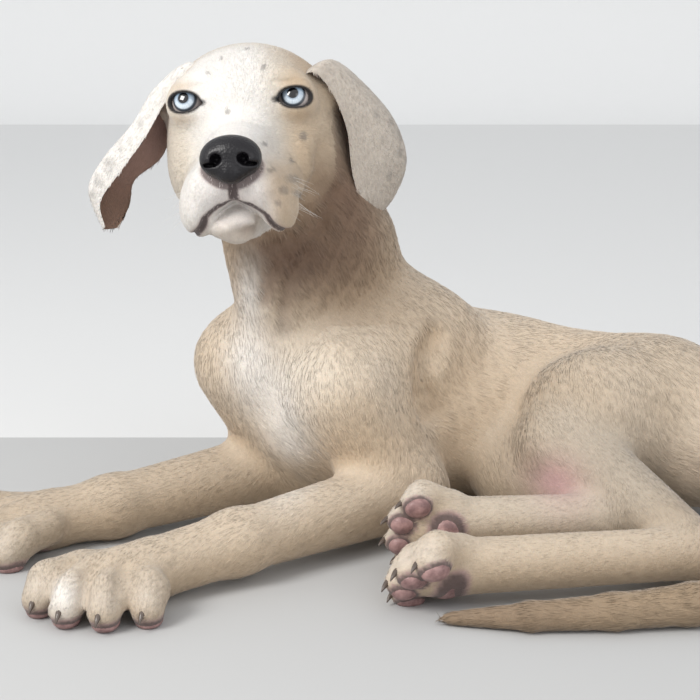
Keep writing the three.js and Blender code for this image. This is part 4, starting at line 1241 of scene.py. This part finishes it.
def ball_mesh(fr, at, radii, rings=16, sides=24):
    a = np.linspace(0, math.pi, rings + 1)[1:-1]
    turn = np.linspace(0, 2 * math.pi, sides, endpoint=False)
    a, turn = (x.ravel() for x in np.meshgrid(a, turn, indexing="ij"))
    ball = np.stack([np.sin(a) * np.cos(turn), np.sin(a) * np.sin(turn), np.cos(a)], 1)
    ball = np.concatenate([ball, [[0, 0, 1], [0, 0, -1]]])
    points = fr.origin + (np.array(at) + ball * radii) @ fr.axes
    faces = []
    for i in range(rings - 2):
        for j in range(sides):
            k = (j + 1) % sides
            p, q = i * sides, (i + 1) * sides
            faces += [(p + j, q + k, q + j), (p + j, p + k, q + k)]
    last = (rings - 2) * sides
    for j in range(sides):
        k = (j + 1) % sides
        faces += [(len(ball) - 2, k, j), (len(ball) - 1, last + j, last + k)]
    return points, np.array(faces)


def pads():
    points, faces = [], []
    count = 0
    for fr, at, radii in PADS:
        p, f = ball_mesh(fr, at, radii)
        p[:, 2] = np.maximum(p[:, 2], 0.1)
        points.append(p)
        faces.append(f + count)
        count += len(p)
    return mesh_object("pads", np.concatenate(points), np.concatenate(faces))


def pad_material():
    m, nodes, links, b = material("pad leather", (0.27, 0.15, 0.14), 0.5, Coat_Weight=0.1)
    where = add(nodes, "ShaderNodeTexCoord")
    grain = add(nodes, "ShaderNodeTexVoronoi", Scale=1100.0)
    tint = add(nodes, "ShaderNodeTexNoise", Scale=180.0, Detail=3.0)
    ramp = add(nodes, "ShaderNodeValToRGB")
    ramp.color_ramp.elements[0].position = 0.35
    ramp.color_ramp.elements[0].color = (0.20, 0.11, 0.105, 1)
    ramp.color_ramp.elements[1].position = 0.65
    ramp.color_ramp.elements[1].color = (0.40, 0.24, 0.225, 1)
    links.new(where.outputs["Object"], grain.inputs["Vector"])
    links.new(where.outputs["Object"], tint.inputs["Vector"])
    links.new(tint.outputs["Fac"], ramp.inputs["Fac"])
    links.new(ramp.outputs["Color"], b.inputs["Base Color"])
    relief = add(nodes, "ShaderNodeBump", Strength=0.5, Distance=0.0004)
    links.new(grain.outputs["Distance"], relief.inputs["Height"])
    links.new(relief.outputs["Normal"], b.inputs["Normal"])
    return m


own(pads(), "pad", pad_material())


# Studio: a grey floor, paper behind it that sweeps up into a far wall, and soft light from the left
def studio():
    profile = [(-2600, 0), (140, 0), (1800, 0)]
    for i in range(1, 13):
        a = math.pi / 2 * i / 12
        profile.append((1800 + 300 * math.sin(a), 300 * (1 - math.cos(a))))
    profile.append((2100, 2600))
    points = [(x, y, z) for y, z in profile for x in (-2600, 2600)]
    faces = [(2 * i, 2 * i + 1, 2 * i + 3, 2 * i + 2) for i in range(len(profile) - 1)]
    ob = mesh_object("studio", np.array(points, float), np.array(faces))
    for name, grey in (("floor", 0.50), ("paper", 0.73), ("wall", 0.85)):
        ob.data.materials.append(material(name, (grey, grey * 1.005, grey), 0.85)[0])
    ob.data.polygons.foreach_set("material_index", [0, 1] + [2] * (len(faces) - 2))


def area_light(name, at, aim, size, power, colour):
    light = bpy.data.lights.new(name, "AREA")
    light.energy = power
    light.size = size
    light.color = colour
    ob = bpy.data.objects.new(name, light)
    ob.location = metres(at)
    ob.rotation_euler = (Vector(metres(aim)) - ob.location).to_track_quat("-Z", "Y").to_euler()
    bpy.context.scene.collection.objects.link(ob)


studio()
area_light("key", (-900, -900, 1100), (0, -60, 120), 0.6, 16.0, (1.0, 0.98, 0.95))
area_light("fill", (1100, -1500, 800), (60, -80, 80), 1.4, 7.0, (0.97, 0.985, 1.0))
world = bpy.data.worlds.new("world")
world.use_nodes = True
world.node_tree.nodes["Background"].inputs["Color"].default_value = (0.97, 0.98, 1.0, 1)
world.node_tree.nodes["Background"].inputs["Strength"].default_value = 0.85
bpy.context.scene.world = world

camera = bpy.data.cameras.new("camera")
camera.sensor_width = 36.0
camera.lens = 36.0 * 2000.0 / 700.0
camera.clip_start = 0.05
camera_object = bpy.data.objects.new("camera", camera)
camera_object.location = metres((0, -1210, 400))
camera_object.rotation_euler = (math.radians(76), 0, 0)
bpy.context.scene.collection.objects.link(camera_object)
bpy.context.scene.camera = camera_object
bpy.context.scene.view_settings.view_transform = "Standard"
